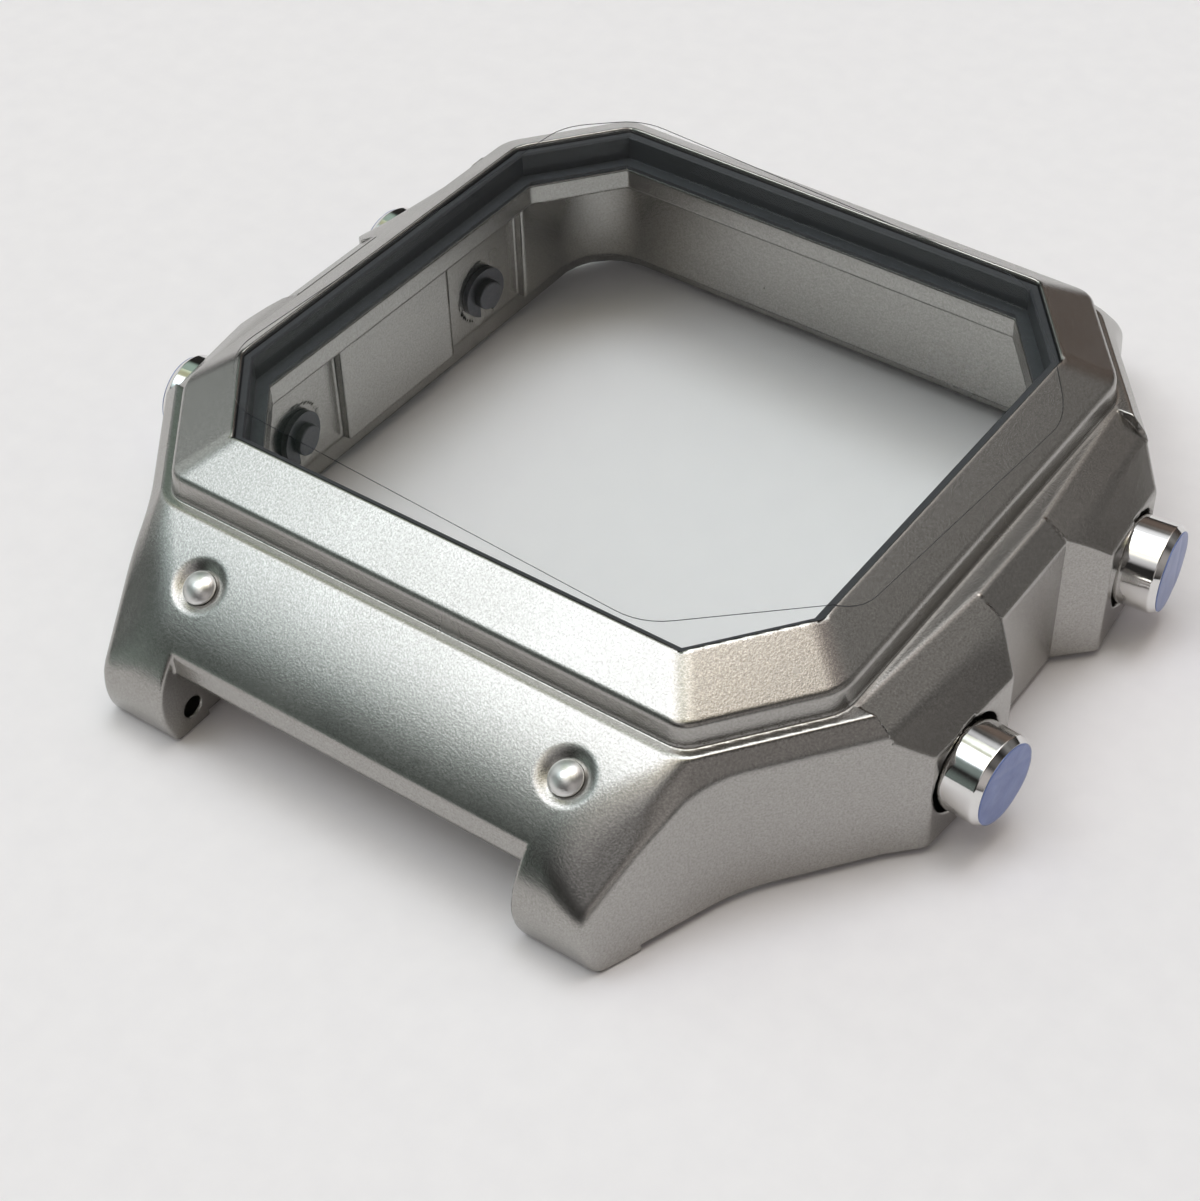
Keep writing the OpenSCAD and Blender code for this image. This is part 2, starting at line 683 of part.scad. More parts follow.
case_body();
crystal();
crystal_gasket();
crystal_film();
at_corner(true, true) stud();  // stud_top_right
at_corner(true, false) stud();  // stud_bottom_right
at_corner(false, true) stud();  // stud_top_left
at_corner(false, false) stud();  // stud_bottom_left
at_corner(true, true) pusher(head_protrusion);  // pusher_top_right
at_corner(true, false) pusher(head_protrusion);  // pusher_bottom_right
at_corner(false, true) pusher(left_protrusion);  // pusher_top_left
at_corner(false, false) pusher(left_protrusion);  // pusher_bottom_left
at_corner(true, true) spring();  // spring_top_right
at_corner(true, false) spring();  // spring_bottom_right
at_corner(false, true) spring();  // spring_top_left
at_corner(false, false) spring();  // spring_bottom_left
at_corner(true, true) seal();  // seal_top_right
at_corner(true, false) seal();  // seal_bottom_right
at_corner(false, true) seal();  // seal_top_left
at_corner(false, false) seal();  // seal_bottom_left
at_corner(true, true) clip();  // clip_top_right
at_corner(true, false) clip();  // clip_bottom_right
at_corner(false, true) clip();  // clip_top_left
at_corner(false, false) clip();  // clip_bottom_left
at_corner(true, true) pusher_film(head_protrusion);  // pusher_film_top_right
at_corner(true, false) pusher_film(head_protrusion);  // pusher_film_bottom_right
at_corner(false, true) pusher_film(left_protrusion);  // pusher_film_top_left
at_corner(false, false) pusher_film(left_protrusion);  // pusher_film_bottom_left
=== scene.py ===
# %% [markdown]
# An empty watch case: a bead-blasted steel body with an eight-sided bezel, a clear crystal, four
# studs and four polished pushers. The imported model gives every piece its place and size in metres.
# Here each visible piece gets its real shape, with soft edges, and its real finish.

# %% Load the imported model
import math

import bpy
import numpy as np
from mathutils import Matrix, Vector


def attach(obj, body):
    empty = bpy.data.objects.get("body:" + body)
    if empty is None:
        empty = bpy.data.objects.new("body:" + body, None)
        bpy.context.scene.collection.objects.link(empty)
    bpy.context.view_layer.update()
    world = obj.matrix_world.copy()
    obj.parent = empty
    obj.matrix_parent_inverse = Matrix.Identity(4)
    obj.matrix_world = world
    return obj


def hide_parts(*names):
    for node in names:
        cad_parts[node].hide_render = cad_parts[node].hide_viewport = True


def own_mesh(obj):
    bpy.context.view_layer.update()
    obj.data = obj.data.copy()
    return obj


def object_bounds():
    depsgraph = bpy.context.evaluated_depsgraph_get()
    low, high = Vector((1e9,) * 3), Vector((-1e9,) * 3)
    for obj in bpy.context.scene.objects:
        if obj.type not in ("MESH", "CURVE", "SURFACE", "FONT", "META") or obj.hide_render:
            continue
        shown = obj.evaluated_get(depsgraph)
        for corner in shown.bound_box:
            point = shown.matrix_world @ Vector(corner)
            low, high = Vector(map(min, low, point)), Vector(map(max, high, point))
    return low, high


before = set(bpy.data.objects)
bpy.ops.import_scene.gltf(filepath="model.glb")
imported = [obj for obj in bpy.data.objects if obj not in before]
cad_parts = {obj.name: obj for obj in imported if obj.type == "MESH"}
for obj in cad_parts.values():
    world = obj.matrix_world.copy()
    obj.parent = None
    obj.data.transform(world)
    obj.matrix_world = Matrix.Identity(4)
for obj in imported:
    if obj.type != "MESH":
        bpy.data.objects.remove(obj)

cad_low, cad_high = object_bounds()
print("packed size in mm:", [round(1000 * s, 2) for s in cad_high - cad_low])

# %% [markdown]
# All sizes below are in millimetres, as on a drawing, and each mesh is scaled to metres at the end.
# The case is symmetric left to right and end to end, so one quarter describes it: x runs towards
# the 3 o'clock side, y towards the end of the case, and z up from the table.

# %% Sizes of the case, in millimetres and degrees
MM = 0.001
CORNER_HEADING = 38.0  # where the cut corners face, from the 3 o'clock side
HEADINGS = (0.0, 90.0, CORNER_HEADING)
WINDOW = (14.65, 14.19, 17.53)  # from the middle to the window's edge, in each heading
BEZEL = (16.76, 16.49, 20.22)  # and to the bezel's outer edge
BEZEL_TOP, BEZEL_EDGE, SHOULDER, UNDERSIDE = 10.42, 9.03, 7.94, 0.3  # heights above the table
RIM_Y, WAIST_X, CORNER_WALL = 16.97, 18.97, 21.45
LUG_TIP_X, TIP_Y, LUG_SPREAD = 12.35, 22.5, 20.7
NOTCH_X = 9.0
SPLAY = 5.34  # the pushers' axes splay outwards by this angle
GUARD_X, PUSHER_Y, PUSHER_Z = 20.2, 7.29, 3.5  # the middle of a guard's face
GUARD_START, GUARD_END = 2.8, 10.87

# %% [markdown]
# The body is one block of steel with blended edges everywhere, so it is built like clay rather
# than from boxes: a distance function says how far any point is outside the metal. Flat faces are
# planes, an outer edge is the larger of two distances, and an inner edge the smaller. Blending the
# two near the edge rounds it, by a real radius.

# %% Distance functions for flat faces and blended edges
def unit(heading):
    """Cosine and sine of an angle in degrees."""
    a = math.radians(heading)
    return math.cos(a), math.sin(a)


def wall(p, reach, heading):
    """An upright face at a reach from the middle."""
    c, s = unit(heading)
    return p[0] * c + p[1] * s - reach


def slope(p, reach, height, heading, fall):
    """A face that falls outwards at an angle, through a line at one reach and height."""
    f = math.radians(fall)
    return wall(p, reach, heading) * math.sin(f) + (p[2] - height) * math.cos(f)


def outer(a, b, blend):
    """Both solids' overlap, with its edge rounded over a width."""
    if blend <= 0:
        return np.maximum(a, b)
    h = np.maximum(blend - np.abs(a - b), 0.0) / blend
    return np.maximum(a, b) + h * h * blend / 4


def inner(a, b, blend):
    """Both solids together, with the corner between them filled over a width."""
    return -outer(-a, -b, blend)


def edge(radius, angle):
    """The blend width that gives a radius to an edge whose faces differ by an angle."""
    return 2 * radius * math.sin(math.radians(angle) / 2) ** 2


def rise(outer_reach, inner_reach):
    """How steeply a facet of the bezel falls."""
    return math.degrees(math.atan2(BEZEL_TOP - BEZEL_EDGE, outer_reach - inner_reach))


# %% [markdown]
# The bezel is the eight-sided frame around the window. Its eight facets fall outwards to an edge, and
# walls with a little draft carry it down to the shoulder. Blasting has softened the mitres to a radius
# of about three millimetres, and the outer edge to half a millimetre.

# %% The bezel
BEZEL_WALL_FALL = 84.8  # a right angle less the draft
MITRE_BLEND, BEZEL_CORNER_BLEND = 0.22, 0.5


def bezel(p):
    facets = walls = None
    for heading, outer_reach, inner_reach in zip(HEADINGS, BEZEL, WINDOW):
        facet = slope(p, outer_reach, BEZEL_EDGE, heading, rise(outer_reach, inner_reach))
        side = slope(p, outer_reach, BEZEL_EDGE, heading, BEZEL_WALL_FALL)
        facets = facet if facets is None else outer(facets, facet, MITRE_BLEND)
        walls = side if walls is None else outer(walls, side, BEZEL_CORNER_BLEND)
    return outer(outer(facets, walls, edge(0.5, 52)), SHOULDER - 1 - p[2], 0)


# %% [markdown]
# Below the bezel the body changes along its length: a plain waist, then a guard that carries a
# pusher, then the corner wall that runs out into a lug. Each stretch has its own faces, and they
# meet in crisp steps, so the stretches are joined at two places along the case. The guard's lower
# facet is slightly twisted: it falls more steeply towards the end of the case.

# %% The waist, the guard and the corner with its lug
STEP_BLEND = 0.06
GUARD_FACE = (-3.0, 2.3)  # its two ends, from the pusher's axis
GUARD_TOP_X, GUARD_FALL = 17.36, 31
RIDGE_X, RIDGE_RUN = 18.85, 1.49
LOWER_FACET_STEEPNESS = (0.70, 1.16)  # at the guard's start and at its end


def through(p, a, b):
    """An upright wall through two places in plan, with the metal to the left of the way from a to b."""
    length = math.hypot(b[0] - a[0], b[1] - a[1])
    return ((p[0] - a[0]) * (b[1] - a[1]) - (p[1] - a[1]) * (b[0] - a[0])) / length


def through_point(p, point, heading, fall):
    """A face that falls outwards at an angle, through one point."""
    c, s = unit(heading)
    return slope(p, point[0] * c + point[1] * s, point[2], heading, fall)


def stretches(p, near, far, place):
    """One solid up to a place along the case, and another beyond it."""
    parted = np.minimum(outer(near, p[1] - place, STEP_BLEND), outer(far, place - p[1], STEP_BLEND))
    return np.minimum(parted, np.maximum(near, far))


def waist(p):
    return outer(wall(p, WAIST_X, 0), through_point(p, (17.85, 0, SHOULDER), 0, 37.5), edge(0.3, 52))


def guard(p):
    c, s = unit(SPLAY)
    inner_end, outer_end = [(GUARD_X - along * s, PUSHER_Y + along * c) for along in GUARD_FACE]
    sides = wall(p, GUARD_X * c + PUSHER_Y * s, SPLAY)
    sides = outer(sides, through(p, outer_end, (18.73, GUARD_END)), 0.1)
    sides = outer(sides, through(p, (WAIST_X, GUARD_START), inner_end), 0.1)
    upper = through_point(p, (GUARD_TOP_X, PUSHER_Y, SHOULDER), SPLAY, GUARD_FALL)
    steepness = np.interp(p[1], (GUARD_START, GUARD_END), LOWER_FACET_STEEPNESS)
    ridge = SHOULDER - RIDGE_RUN * math.tan(math.radians(GUARD_FALL))
    past_ridge = wall(p, RIDGE_X * c + PUSHER_Y * s, SPLAY)
    lower = (p[2] - ridge + past_ridge * steepness) / np.sqrt(1 + steepness ** 2)
    return outer(sides, outer(upper, lower, 0.07), 0.13)


def corner_and_lug(p):
    c, s = unit(LUG_SPREAD)
    lug_side = slope(p, LUG_TIP_X * c + TIP_Y * s, 1.5, LUG_SPREAD, 86.5)
    sides = inner(wall(p, CORNER_WALL, CORNER_HEADING), lug_side, 0.45)
    bevel = slope(p, CORNER_WALL - 0.65, SHOULDER, CORNER_HEADING, 53.9)
    lug_bevel = through_point(p, (13.48, 18.03, 6.9), 67.7, 47.1)
    return outer(outer(sides, bevel, 0.19), lug_bevel, 0.34)


# %% [markdown]
# Seen from the side, each end falls in one smooth curve from the rim to the lug's nose, and then goes
# round the tip to the pad that stands on the table. The curve is sampled closely once, with its
# length and directions. A point's bearing from a hub inside the metal gives a first guess of its
# nearest place on the curve, and a few sliding steps make that exact.

# %% The end of the case, seen from the side
HUB_Y, HUB_Z = 14.0, -2.0
SLOPE_STEPS, NOSE_STEPS, SLIDES = 90, 60, 4


def bent(a, b, c, steps):
    """Points along a curve from a to c that aims at b from both ends."""
    t = np.linspace(0, 1, steps)[:, None]
    return (1 - t) ** 2 * np.array(a) + 2 * t * (1 - t) * np.array(b) + t * t * np.array(c)


RIM, NOSE, PAD_CORNER = (RIM_Y, SHOULDER), (TIP_Y - 0.2, 3.2), (TIP_Y - 0.65, 0.0)
FALL_START, FALL_END = math.tan(math.radians(30)), math.tan(math.radians(70))
knee_y = (NOSE[1] - RIM[1] + FALL_END * NOSE[0] - FALL_START * RIM[0]) / (FALL_END - FALL_START)
knee = (knee_y, RIM[1] - (knee_y - RIM[0]) * FALL_START)
curve = np.vstack([bent(RIM, knee, NOSE, SLOPE_STEPS),
                   bent(NOSE, (TIP_Y + 0.36, 1.6), PAD_CORNER, NOSE_STEPS)[1:]])
steps = np.diff(curve, axis=0)
along = np.concatenate([[0], np.cumsum(np.hypot(*steps.T))])
turn = np.gradient(curve, along, axis=0)
turn /= np.linalg.norm(turn, axis=1)[:, None]
bearing = np.arctan2(curve[:, 0] - HUB_Y, curve[:, 1] - HUB_Z)


def end_curve(p):
    """How far a point lies outside the curve of the case's end."""
    y, z = np.asarray(p[1], float), np.asarray(p[2], float)
    place = np.interp(np.arctan2(y - HUB_Y, z - HUB_Z), bearing, along)
    for slide in range(SLIDES + 1):
        at = [np.interp(place, along, curve[:, k]) for k in (0, 1)]
        way = [np.interp(place, along, turn[:, k]) for k in (0, 1)]
        if slide < SLIDES:
            ahead = (y - at[0]) * way[0] + (z - at[1]) * way[1]
            place = np.clip(place + 0.8 * ahead, 0, along[-1])
    return (y - at[0]) * -way[1] + (z - at[1]) * way[0]


STUD_X, STUD_Y, STUD_TILT = 9.27, RIM_Y + 2.14, 33.0
STUD_Z = float(np.interp(STUD_Y, curve[:SLOPE_STEPS, 0], curve[:SLOPE_STEPS, 1]))
print("end curve length in mm:", round(float(along[-1]), 2), "stud seat height:", round(STUD_Z, 3))


# %% [markdown]
# What is missing from the block is as important as what is there. Each hollow has its own distance
# function, taken away from the metal: the window and the ledge that the crystal sits on, the room for
# the movement, the opening for the case back, the strap notches, the studs' dishes and the bores.

# %% The hollows
MOVEMENT_ROOM, BACK_OPENING = (14.6, 15.6, 7.62), (15.2, 16.6, 1.5)  # half widths and top
POCKET_X, POCKET_Y, POCKET_HALF_WIDTH = 15.1, 6.8, 2.9
SEAT, LEDGE_INSET, LEDGE_FOOT = 8.72, 1.0, 6.6  # the ledge that carries the crystal
BAR_Y, BAR_Z, BAR_HOLE_RADIUS, BAR_HOLE_END = 20.8, 1.2, 0.5, 10.5
STRAP_RECESS_RADIUS = 2.45
COUNTERBORE_RADIUS, COUNTERBORE_FLOOR = 2.27, -3.05
STEM_BORE_RADIUS, BORE_END = 0.8, -6.15
CLIP_SEAT_RADIUS, CLIP_SEAT_START = 1.6, -5.15
DISH_RADIUS, DISH_DEPTH = 1.15, 0.3
SCREW_X, SCREW_Y, SCREW_RADIUS, SCREW_TOP = 11.3, 18.1, 0.6, 2.9


def rounded_room(p, half_x, half_y, top):
    """A room with round upright corners, open below."""
    radius = 3
    qx, qy = p[0] - (half_x - radius), p[1] - (half_y - radius)
    plan = np.hypot(np.maximum(qx, 0), np.maximum(qy, 0)) + np.minimum(np.maximum(qx, qy), 0) - radius
    return outer(plan, p[2] - top, 0.3)


def window_prism(p, inset, floor):
    """The window's outline, set in by a distance, from a floor upwards."""
    sides = None
    for heading, reach in zip(HEADINGS, WINDOW):
        side = wall(p, reach - inset, heading)
        sides = side if sides is None else outer(sides, side, 0.08)
    return np.maximum(sides, floor - p[2])


def strap_notch(p):
    """The gap between two lugs, with a round recess for the strap's end."""
    y, z = p[1] - BAR_Y, p[2] - BAR_Z
    round_recess = np.hypot(y, z) - STRAP_RECESS_RADIUS
    below = np.maximum(np.maximum(z, -STRAP_RECESS_RADIUS - y), y - 1)
    return np.maximum(p[0] - NOTCH_X, np.minimum(np.minimum(TIP_Y - 1.15 - p[1], round_recess), below))


def on_pusher_axis(p):
    """Distance outwards from the guard's face, and distance from the pusher's axis."""
    c, s = unit(SPLAY)
    out = (p[0] - GUARD_X) * c + (p[1] - PUSHER_Y) * s
    side = (p[1] - PUSHER_Y) * c - (p[0] - GUARD_X) * s
    return out, np.hypot(side, p[2] - PUSHER_Z)


def pusher_bore(p):
    """The counterbore of a pusher's head, the bore of its stem, and the seat of its clip."""
    out, away = on_pusher_axis(p)
    counterbore = np.maximum(away - COUNTERBORE_RADIUS, COUNTERBORE_FLOOR - out)
    stem_bore = np.maximum(away - STEM_BORE_RADIUS, BORE_END - out)
    clip_seat = np.maximum(np.maximum(away - CLIP_SEAT_RADIUS, out - CLIP_SEAT_START), BORE_END - out)
    return np.minimum(np.minimum(counterbore, stem_bore), clip_seat)


def stud_dish(p):
    """A shallow dish: part of a ball that hangs over the slope."""
    ball = (DISH_RADIUS ** 2 + DISH_DEPTH ** 2) / (2 * DISH_DEPTH)
    c, s = unit(STUD_TILT)
    lift = ball - DISH_DEPTH
    return np.sqrt((p[0] - STUD_X) ** 2 + (p[1] - STUD_Y - lift * s) ** 2
                   + (p[2] - STUD_Z - lift * c) ** 2) - ball


# %% The whole body: blocks, then hollows
def case_metal(p):
    """Distance outside the metal, in millimetres, for points given as three arrays."""
    p = (np.abs(p[0]), np.abs(p[1]), p[2])
    z = p[2]
    low = stretches(p, guard(p), corner_and_lug(p), GUARD_END)
    low = stretches(p, waist(p), low, GUARD_START)
    low = outer(low, end_curve(p), 0.30)
    low = outer(low, z - SHOULDER, edge(0.6, 31))
    underside = np.maximum(-z, np.minimum(UNDERSIDE - z, TIP_Y - 2.55 - p[1]))
    low = outer(low, underside, 0.25)
    metal = inner(low, bezel(p), 0.12)
    metal = outer(metal, -rounded_room(p, *MOVEMENT_ROOM), 0.15)
    metal = outer(metal, -rounded_room(p, *BACK_OPENING), 0.15)
    pocket = np.maximum(p[0] - POCKET_X, np.abs(p[1] - POCKET_Y) - POCKET_HALF_WIDTH)
    metal = outer(metal, -np.maximum(pocket, z - MOVEMENT_ROOM[2]), 0.12)
    metal = outer(metal, -window_prism(p, LEDGE_INSET, LEDGE_FOOT), 0.08)
    metal = outer(metal, -window_prism(p, 0.0, SEAT), 0.16)
    metal = outer(metal, -strap_notch(p), 0.16)
    bar_hole = np.maximum(np.hypot(p[1] - BAR_Y, z - BAR_Z) - BAR_HOLE_RADIUS, p[0] - BAR_HOLE_END)
    metal = outer(metal, -bar_hole, 0.08)
    metal = outer(metal, -stud_dish(p), 0.13)
    metal = outer(metal, -pusher_bore(p), 0.10)
    screw = np.maximum(np.hypot(p[0] - SCREW_X, p[1] - SCREW_Y) - SCREW_RADIUS, z - SCREW_TOP)
    return outer(metal, -screw, 0.1)


# %% [markdown]
# A surface has to be drawn where the distance is zero. Space is divided into small cells, each cell
# that the surface passes through gets one point, set where the faces that cross it meet, and every
# crossed cell edge becomes one quad between the four points around it. This is dual contouring: it
# keeps flat faces flat and soft edges soft, and the true directions give smooth shading.

# %% Distance to mesh: one point for each crossed cell
def directions(solid, points, step=0.02):
    """Unit directions away from the solid at each point."""
    out = np.empty_like(points)
    for axis in range(3):
        high, low = points.T.copy(), points.T.copy()
        high[axis] += step
        low[axis] -= step
        out[:, axis] = solid(high) - solid(low)
    return out / np.maximum(np.linalg.norm(out, axis=1), 1e-12)[:, None]


def start_and_end(axis):
    """The cell corners that have a next one along an axis, and those next ones."""
    start, end = [slice(None)] * 3, [slice(None)] * 3
    start[axis], end[axis] = slice(None, -1), slice(1, None)
    return tuple(start), tuple(end)


def crossings(solid, low, counts, cell):
    """Where the surface crosses the cell edges of one quarter: cells, places and directions."""
    axes = [low[k] + cell * np.arange(counts[k] + 1) for k in range(3)]
    field = solid(np.meshgrid(*axes, indexing="ij"))
    inside = field < 0
    cells, places, faces = [], [], []
    for axis in range(3):
        start_part, end_part = start_and_end(axis)
        start = np.argwhere(inside[start_part] != inside[end_part])
        end = start.copy()
        end[:, axis] += 1
        first, last = field[tuple(start.T)], field[tuple(end.T)]
        spot = np.array(low) + cell * start
        base = spot[:, axis].copy()
        a, b = np.zeros(len(start)), np.ones(len(start))
        share = first / (first - last)
        for _ in range(3):
            spot[:, axis] = base + cell * share
            f = solid(spot.T)
            same = (f < 0) == (first < 0)
            a, first = np.where(same, share, a), np.where(same, f, first)
            b, last = np.where(same, b, share), np.where(same, last, f)
            share = a + (b - a) * np.clip(first / (first - last), 0.05, 0.95)
        spot[:, axis] = base + cell * share
        face = directions(solid, spot)
        sides = [k for k in range(3) if k != axis]
        for back in ((0, 0), (1, 0), (0, 1), (1, 1)):
            near = start.copy()
            near[:, sides[0]] -= back[0]
            near[:, sides[1]] -= back[1]
            cells.append(near)
            places.append(spot)
            faces.append(face)
    return inside, np.vstack(cells), np.vstack(places), np.vstack(faces)


# %% One point in each crossed cell, where the planes through its crossings meet
def cell_points(solid, low, counts, cell):
    """Which cell corners are inside, each crossed cell's number, and the points by number."""
    inside, cells, places, faces = crossings(solid, low, counts, cell)
    keep = np.all((cells >= 0) & (cells < np.array(counts)), axis=1)
    cells, places, faces = cells[keep], places[keep], faces[keep]
    used, which = np.unique(np.ravel_multi_index(cells.T, counts), return_inverse=True)
    count = np.bincount(which)[:, None]
    middle = np.stack([np.bincount(which, places[:, k]) for k in range(3)], 1) / count
    gap = np.einsum("ij,ij->i", faces, places - middle[which])
    square = np.empty((len(used), 3, 3))
    for i in range(3):
        for j in range(3):
            square[:, i, j] = np.bincount(which, faces[:, i] * faces[:, j])
    square += 0.05 * np.eye(3)
    aim = np.stack([np.bincount(which, faces[:, k] * gap) for k in range(3)], 1)
    points = middle + np.linalg.solve(square, aim[..., None])[..., 0]
    corner = np.array(low) + cell * np.stack(np.unravel_index(used, counts), 1)
    points = np.clip(points, corner, corner + cell)
    numbers = np.full(counts, -1, np.int64)
    numbers.ravel()[used] = np.arange(len(used))
    return inside, numbers, points


# %% The quarter, mirrored four ways and joined into one closed skin
def mirrored_skin(solid, low, counts, cell):
    """Points and quads of the whole skin. The quarter starts exactly on both mirror planes."""
    inside, numbers, quarter = cell_points(solid, low, counts, cell)
    inside = np.concatenate([inside[:0:-1], inside], axis=0)
    inside = np.concatenate([inside[:, :0:-1], inside], axis=1)
    size = len(quarter)
    flipped = np.where(numbers >= 0, numbers + size, -1)[::-1]
    half = np.concatenate([flipped, numbers], axis=0)
    cells = np.concatenate([np.where(half >= 0, half + 2 * size, -1)[:, ::-1], half], axis=1)
    points = np.vstack([quarter * side for side in ((1, 1, 1), (-1, 1, 1), (1, -1, 1), (-1, -1, 1))])
    quads = []
    for axis in range(3):
        start_in, end_in = (inside[part] for part in start_and_end(axis))
        spots = np.argwhere(start_in != end_in)
        outwards = start_in[tuple(spots.T)]
        u, v = (axis + 1) % 3, (axis + 2) % 3
        ring = []
        for du, dv in ((1, 1), (0, 1), (0, 0), (1, 0)):
            near = spots.copy()
            near[:, u] -= du
            near[:, v] -= dv
            ring.append(cells[tuple(near.T)])
        quad = np.stack(ring, 1)
        quads.append(np.where(outwards[:, None], quad, quad[:, ::-1]))
    return points, np.vstack(quads)


CELL = 0.13
LOW = (0.0, 0.0, -0.22)
COUNTS = (162, 176, 84)
skin_points, skin_quads = mirrored_skin(case_metal, LOW, COUNTS, CELL)
skin_points = np.clip(skin_points, np.array(cad_low) / MM, np.array(cad_high) / MM)
skin_faces = directions(case_metal, skin_points, 0.03)
print("body skin:", len(skin_points), "points,", len(skin_quads), "quads, all joined:",
      bool(skin_quads.min() >= 0))


# %% [markdown]
# The skin becomes a Blender mesh with its true directions as custom normals, so light slides over
# the soft edges as on the real case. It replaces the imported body, and keeps to its sizes.

# %% A mesh from points in millimetres, and the faces of a stack of rings
def mesh_piece(name, points, faces, normals, body, slot, *nodes):
    """A new piece with smooth shading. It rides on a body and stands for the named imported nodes."""
    mesh = bpy.data.meshes.new(name)
    mesh.from_pydata((np.asarray(points) * MM).tolist(), [], [list(map(int, f)) for f in faces])
    mesh.shade_smooth()
    if normals is not None:
        mesh.normals_split_custom_set_from_vertices(np.asarray(normals).tolist())
    piece = bpy.data.objects.new(name, mesh)
    bpy.context.scene.collection.objects.link(piece)
    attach(piece, body)
    if nodes:
        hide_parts(*nodes)
    return piece


def ring_faces(rings, sides, closed=False):
    """Quads between rings of points, and then a cap at each end, or a closed loop of rings."""
    faces = []
    for ring in range(rings if closed else rings - 1):
        first, below = ring * sides, (ring + 1) % rings * sides
        for k in range(sides):
            n = (k + 1) % sides
            faces.append([first + k, below + k, below + n, first + n])
    if not closed:
        last = (rings - 1) * sides
        faces += [list(range(sides)), list(range(last, last + sides))[::-1]]
    return faces


case = mesh_piece("case_metal", skin_points, skin_quads, skin_faces, "case", "body", "case_body")

# %% [markdown]
# The pushers, the studs and the discs on the pushers are turned parts: each is a side profile spun
# round an axis, as on a lathe. Every corner of the profile gets a small radius, because polished
# steel shows each edge as a bright line, and the exact direction of the profile goes to the shading.

# %% A turned piece: a profile with rounded corners, spun round an axis
def rounded_profile(corners, steps=5):
    """Points and directions along a profile of (radius, height, corner radius), from top to foot."""
    spots, normals = [], []
    pts = [np.array(c[:2], float) for c in corners]
    for i, point in enumerate(pts):
        before = (point - pts[i - 1]) if i else None
        after = (pts[i + 1] - point) if i + 1 < len(pts) else None
        ways = [w / np.linalg.norm(w) for w in (before, after) if w is not None]
        facing = [np.array([-w[1], w[0]]) for w in ways]
        if len(ways) == 1:
            spots.append(point)
            normals.append(facing[0])
            continue
        angle = math.acos(max(-1.0, min(1.0, float(ways[0] @ ways[1]))))
        reach = corners[i][2] * math.tan(angle / 2)
        start, end = point - ways[0] * reach, point + ways[1] * reach
        for k in range(steps + 1):
            t = k / steps
            spots.append((1 - t) ** 2 * start + 2 * t * (1 - t) * point + t * t * end)
            mix = (1 - t) * facing[0] + t * facing[1]
            normals.append(mix / np.linalg.norm(mix))
    return np.array(spots), np.array(normals)


def turned(name, corners, origin, axis, body, slot, *nodes, sides=96):
    """A new piece: the profile spun round an axis through an origin."""
    profile, facing = rounded_profile(corners)
    axis = np.array(axis) / np.linalg.norm(axis)
    across = np.cross([0.0, 0.0, 1.0] if abs(axis[2]) < 0.9 else [0.0, 1.0, 0.0], axis)
    across /= np.linalg.norm(across)
    third = np.cross(axis, across)
    angles = 2 * math.pi * np.arange(sides) / sides
    around = np.cos(angles)[:, None] * across + np.sin(angles)[:, None] * third
    points, normals, rings = [], [], []
    for (radius, height), (out, up) in zip(profile, facing):
        if radius < 1e-6:
            rings.append([len(points)] * sides)
            points.append(np.array(origin) + height * axis)
            normals.append(math.copysign(1, up) * axis)
            continue
        rings.append(list(range(len(points), len(points) + sides)))
        points += list(np.array(origin) + height * axis + radius * around)
        normals += list(out * around + up * axis)
    faces = []
    for upper, lower in zip(rings[:-1], rings[1:]):
        for k in range(sides):
            n = (k + 1) % sides
            face = [upper[k], lower[k], lower[n], upper[n]]
            face = [v for i, v in enumerate(face) if v != face[i - 1]]
            if len(face) > 2:
                faces.append(face)
    return mesh_piece(name, points, faces, normals, body, slot, *nodes)


# %% [markdown]
# Each pusher is one turned piece: a polished head with a flat end and a narrow chamfer, and behind it
# the stem with its two grooves. The head slides in its counterbore, so the whole piece rides on the
# pusher's own body, and the thin black ring around it is the real gap. The heads on the right stand
# out 1.82 mm, and those on the left only 1.1 mm.

# %% Four pushers
CORNERS = {"top_right": (1, 1), "bottom_right": (1, -1), "top_left": (-1, 1), "bottom_left": (-1, -1)}
STANDS_OUT = {1: 1.82, -1: 1.1}  # on the right and on the left
FACE_RADIUS = 1.83
STEM_PROFILE = [
    (2.03, -0.9, 0.08), (0.75, -0.9, 0.04),
    (0.75, -3.45, 0.03), (0.53, -3.45, 0.02), (0.53, -4.05, 0.02), (0.75, -4.05, 0.03),
    (0.75, -5.15, 0.02), (0.5, -5.15, 0.02), (0.5, -5.51, 0.02), (0.75, -5.51, 0.02),
    (0.75, -5.86, 0.1), (0, -5.86, 0)]


def pusher_directions(right, top):
    """The middle of a guard's face, the way out along the pusher's axis, and two ways across."""
    c, s = unit(SPLAY)
    axis, up = np.array([right * c, top * s, 0.0]), np.array([0, 0, 1.0])
    return np.array([right * GUARD_X, top * PUSHER_Y, PUSHER_Z]), axis, np.cross(up, axis), up


pushers = {}
for corner, (right, top) in CORNERS.items():
    centre, axis, across, up = pusher_directions(right, top)
    face = STANDS_OUT[right]
    head = [(0, face, 0), (FACE_RADIUS, face, 0.05), (2.03, face - 0.3, 0.12)]
    pushers[corner] = turned("pusher_steel_" + corner, head + STEM_PROFILE, centre, axis,
                             "pusher_" + corner, "pusher", "pusher_" + corner)
print("pushers:", len(pushers), "with", len(pushers["top_right"].data.polygons), "faces each")

# %% [markdown]
# Four small studs decorate the ends. Each is a polished dome on a low collar, pressed into a shallow
# dish, so its profile is a true arc of a ball and then a short straight side.

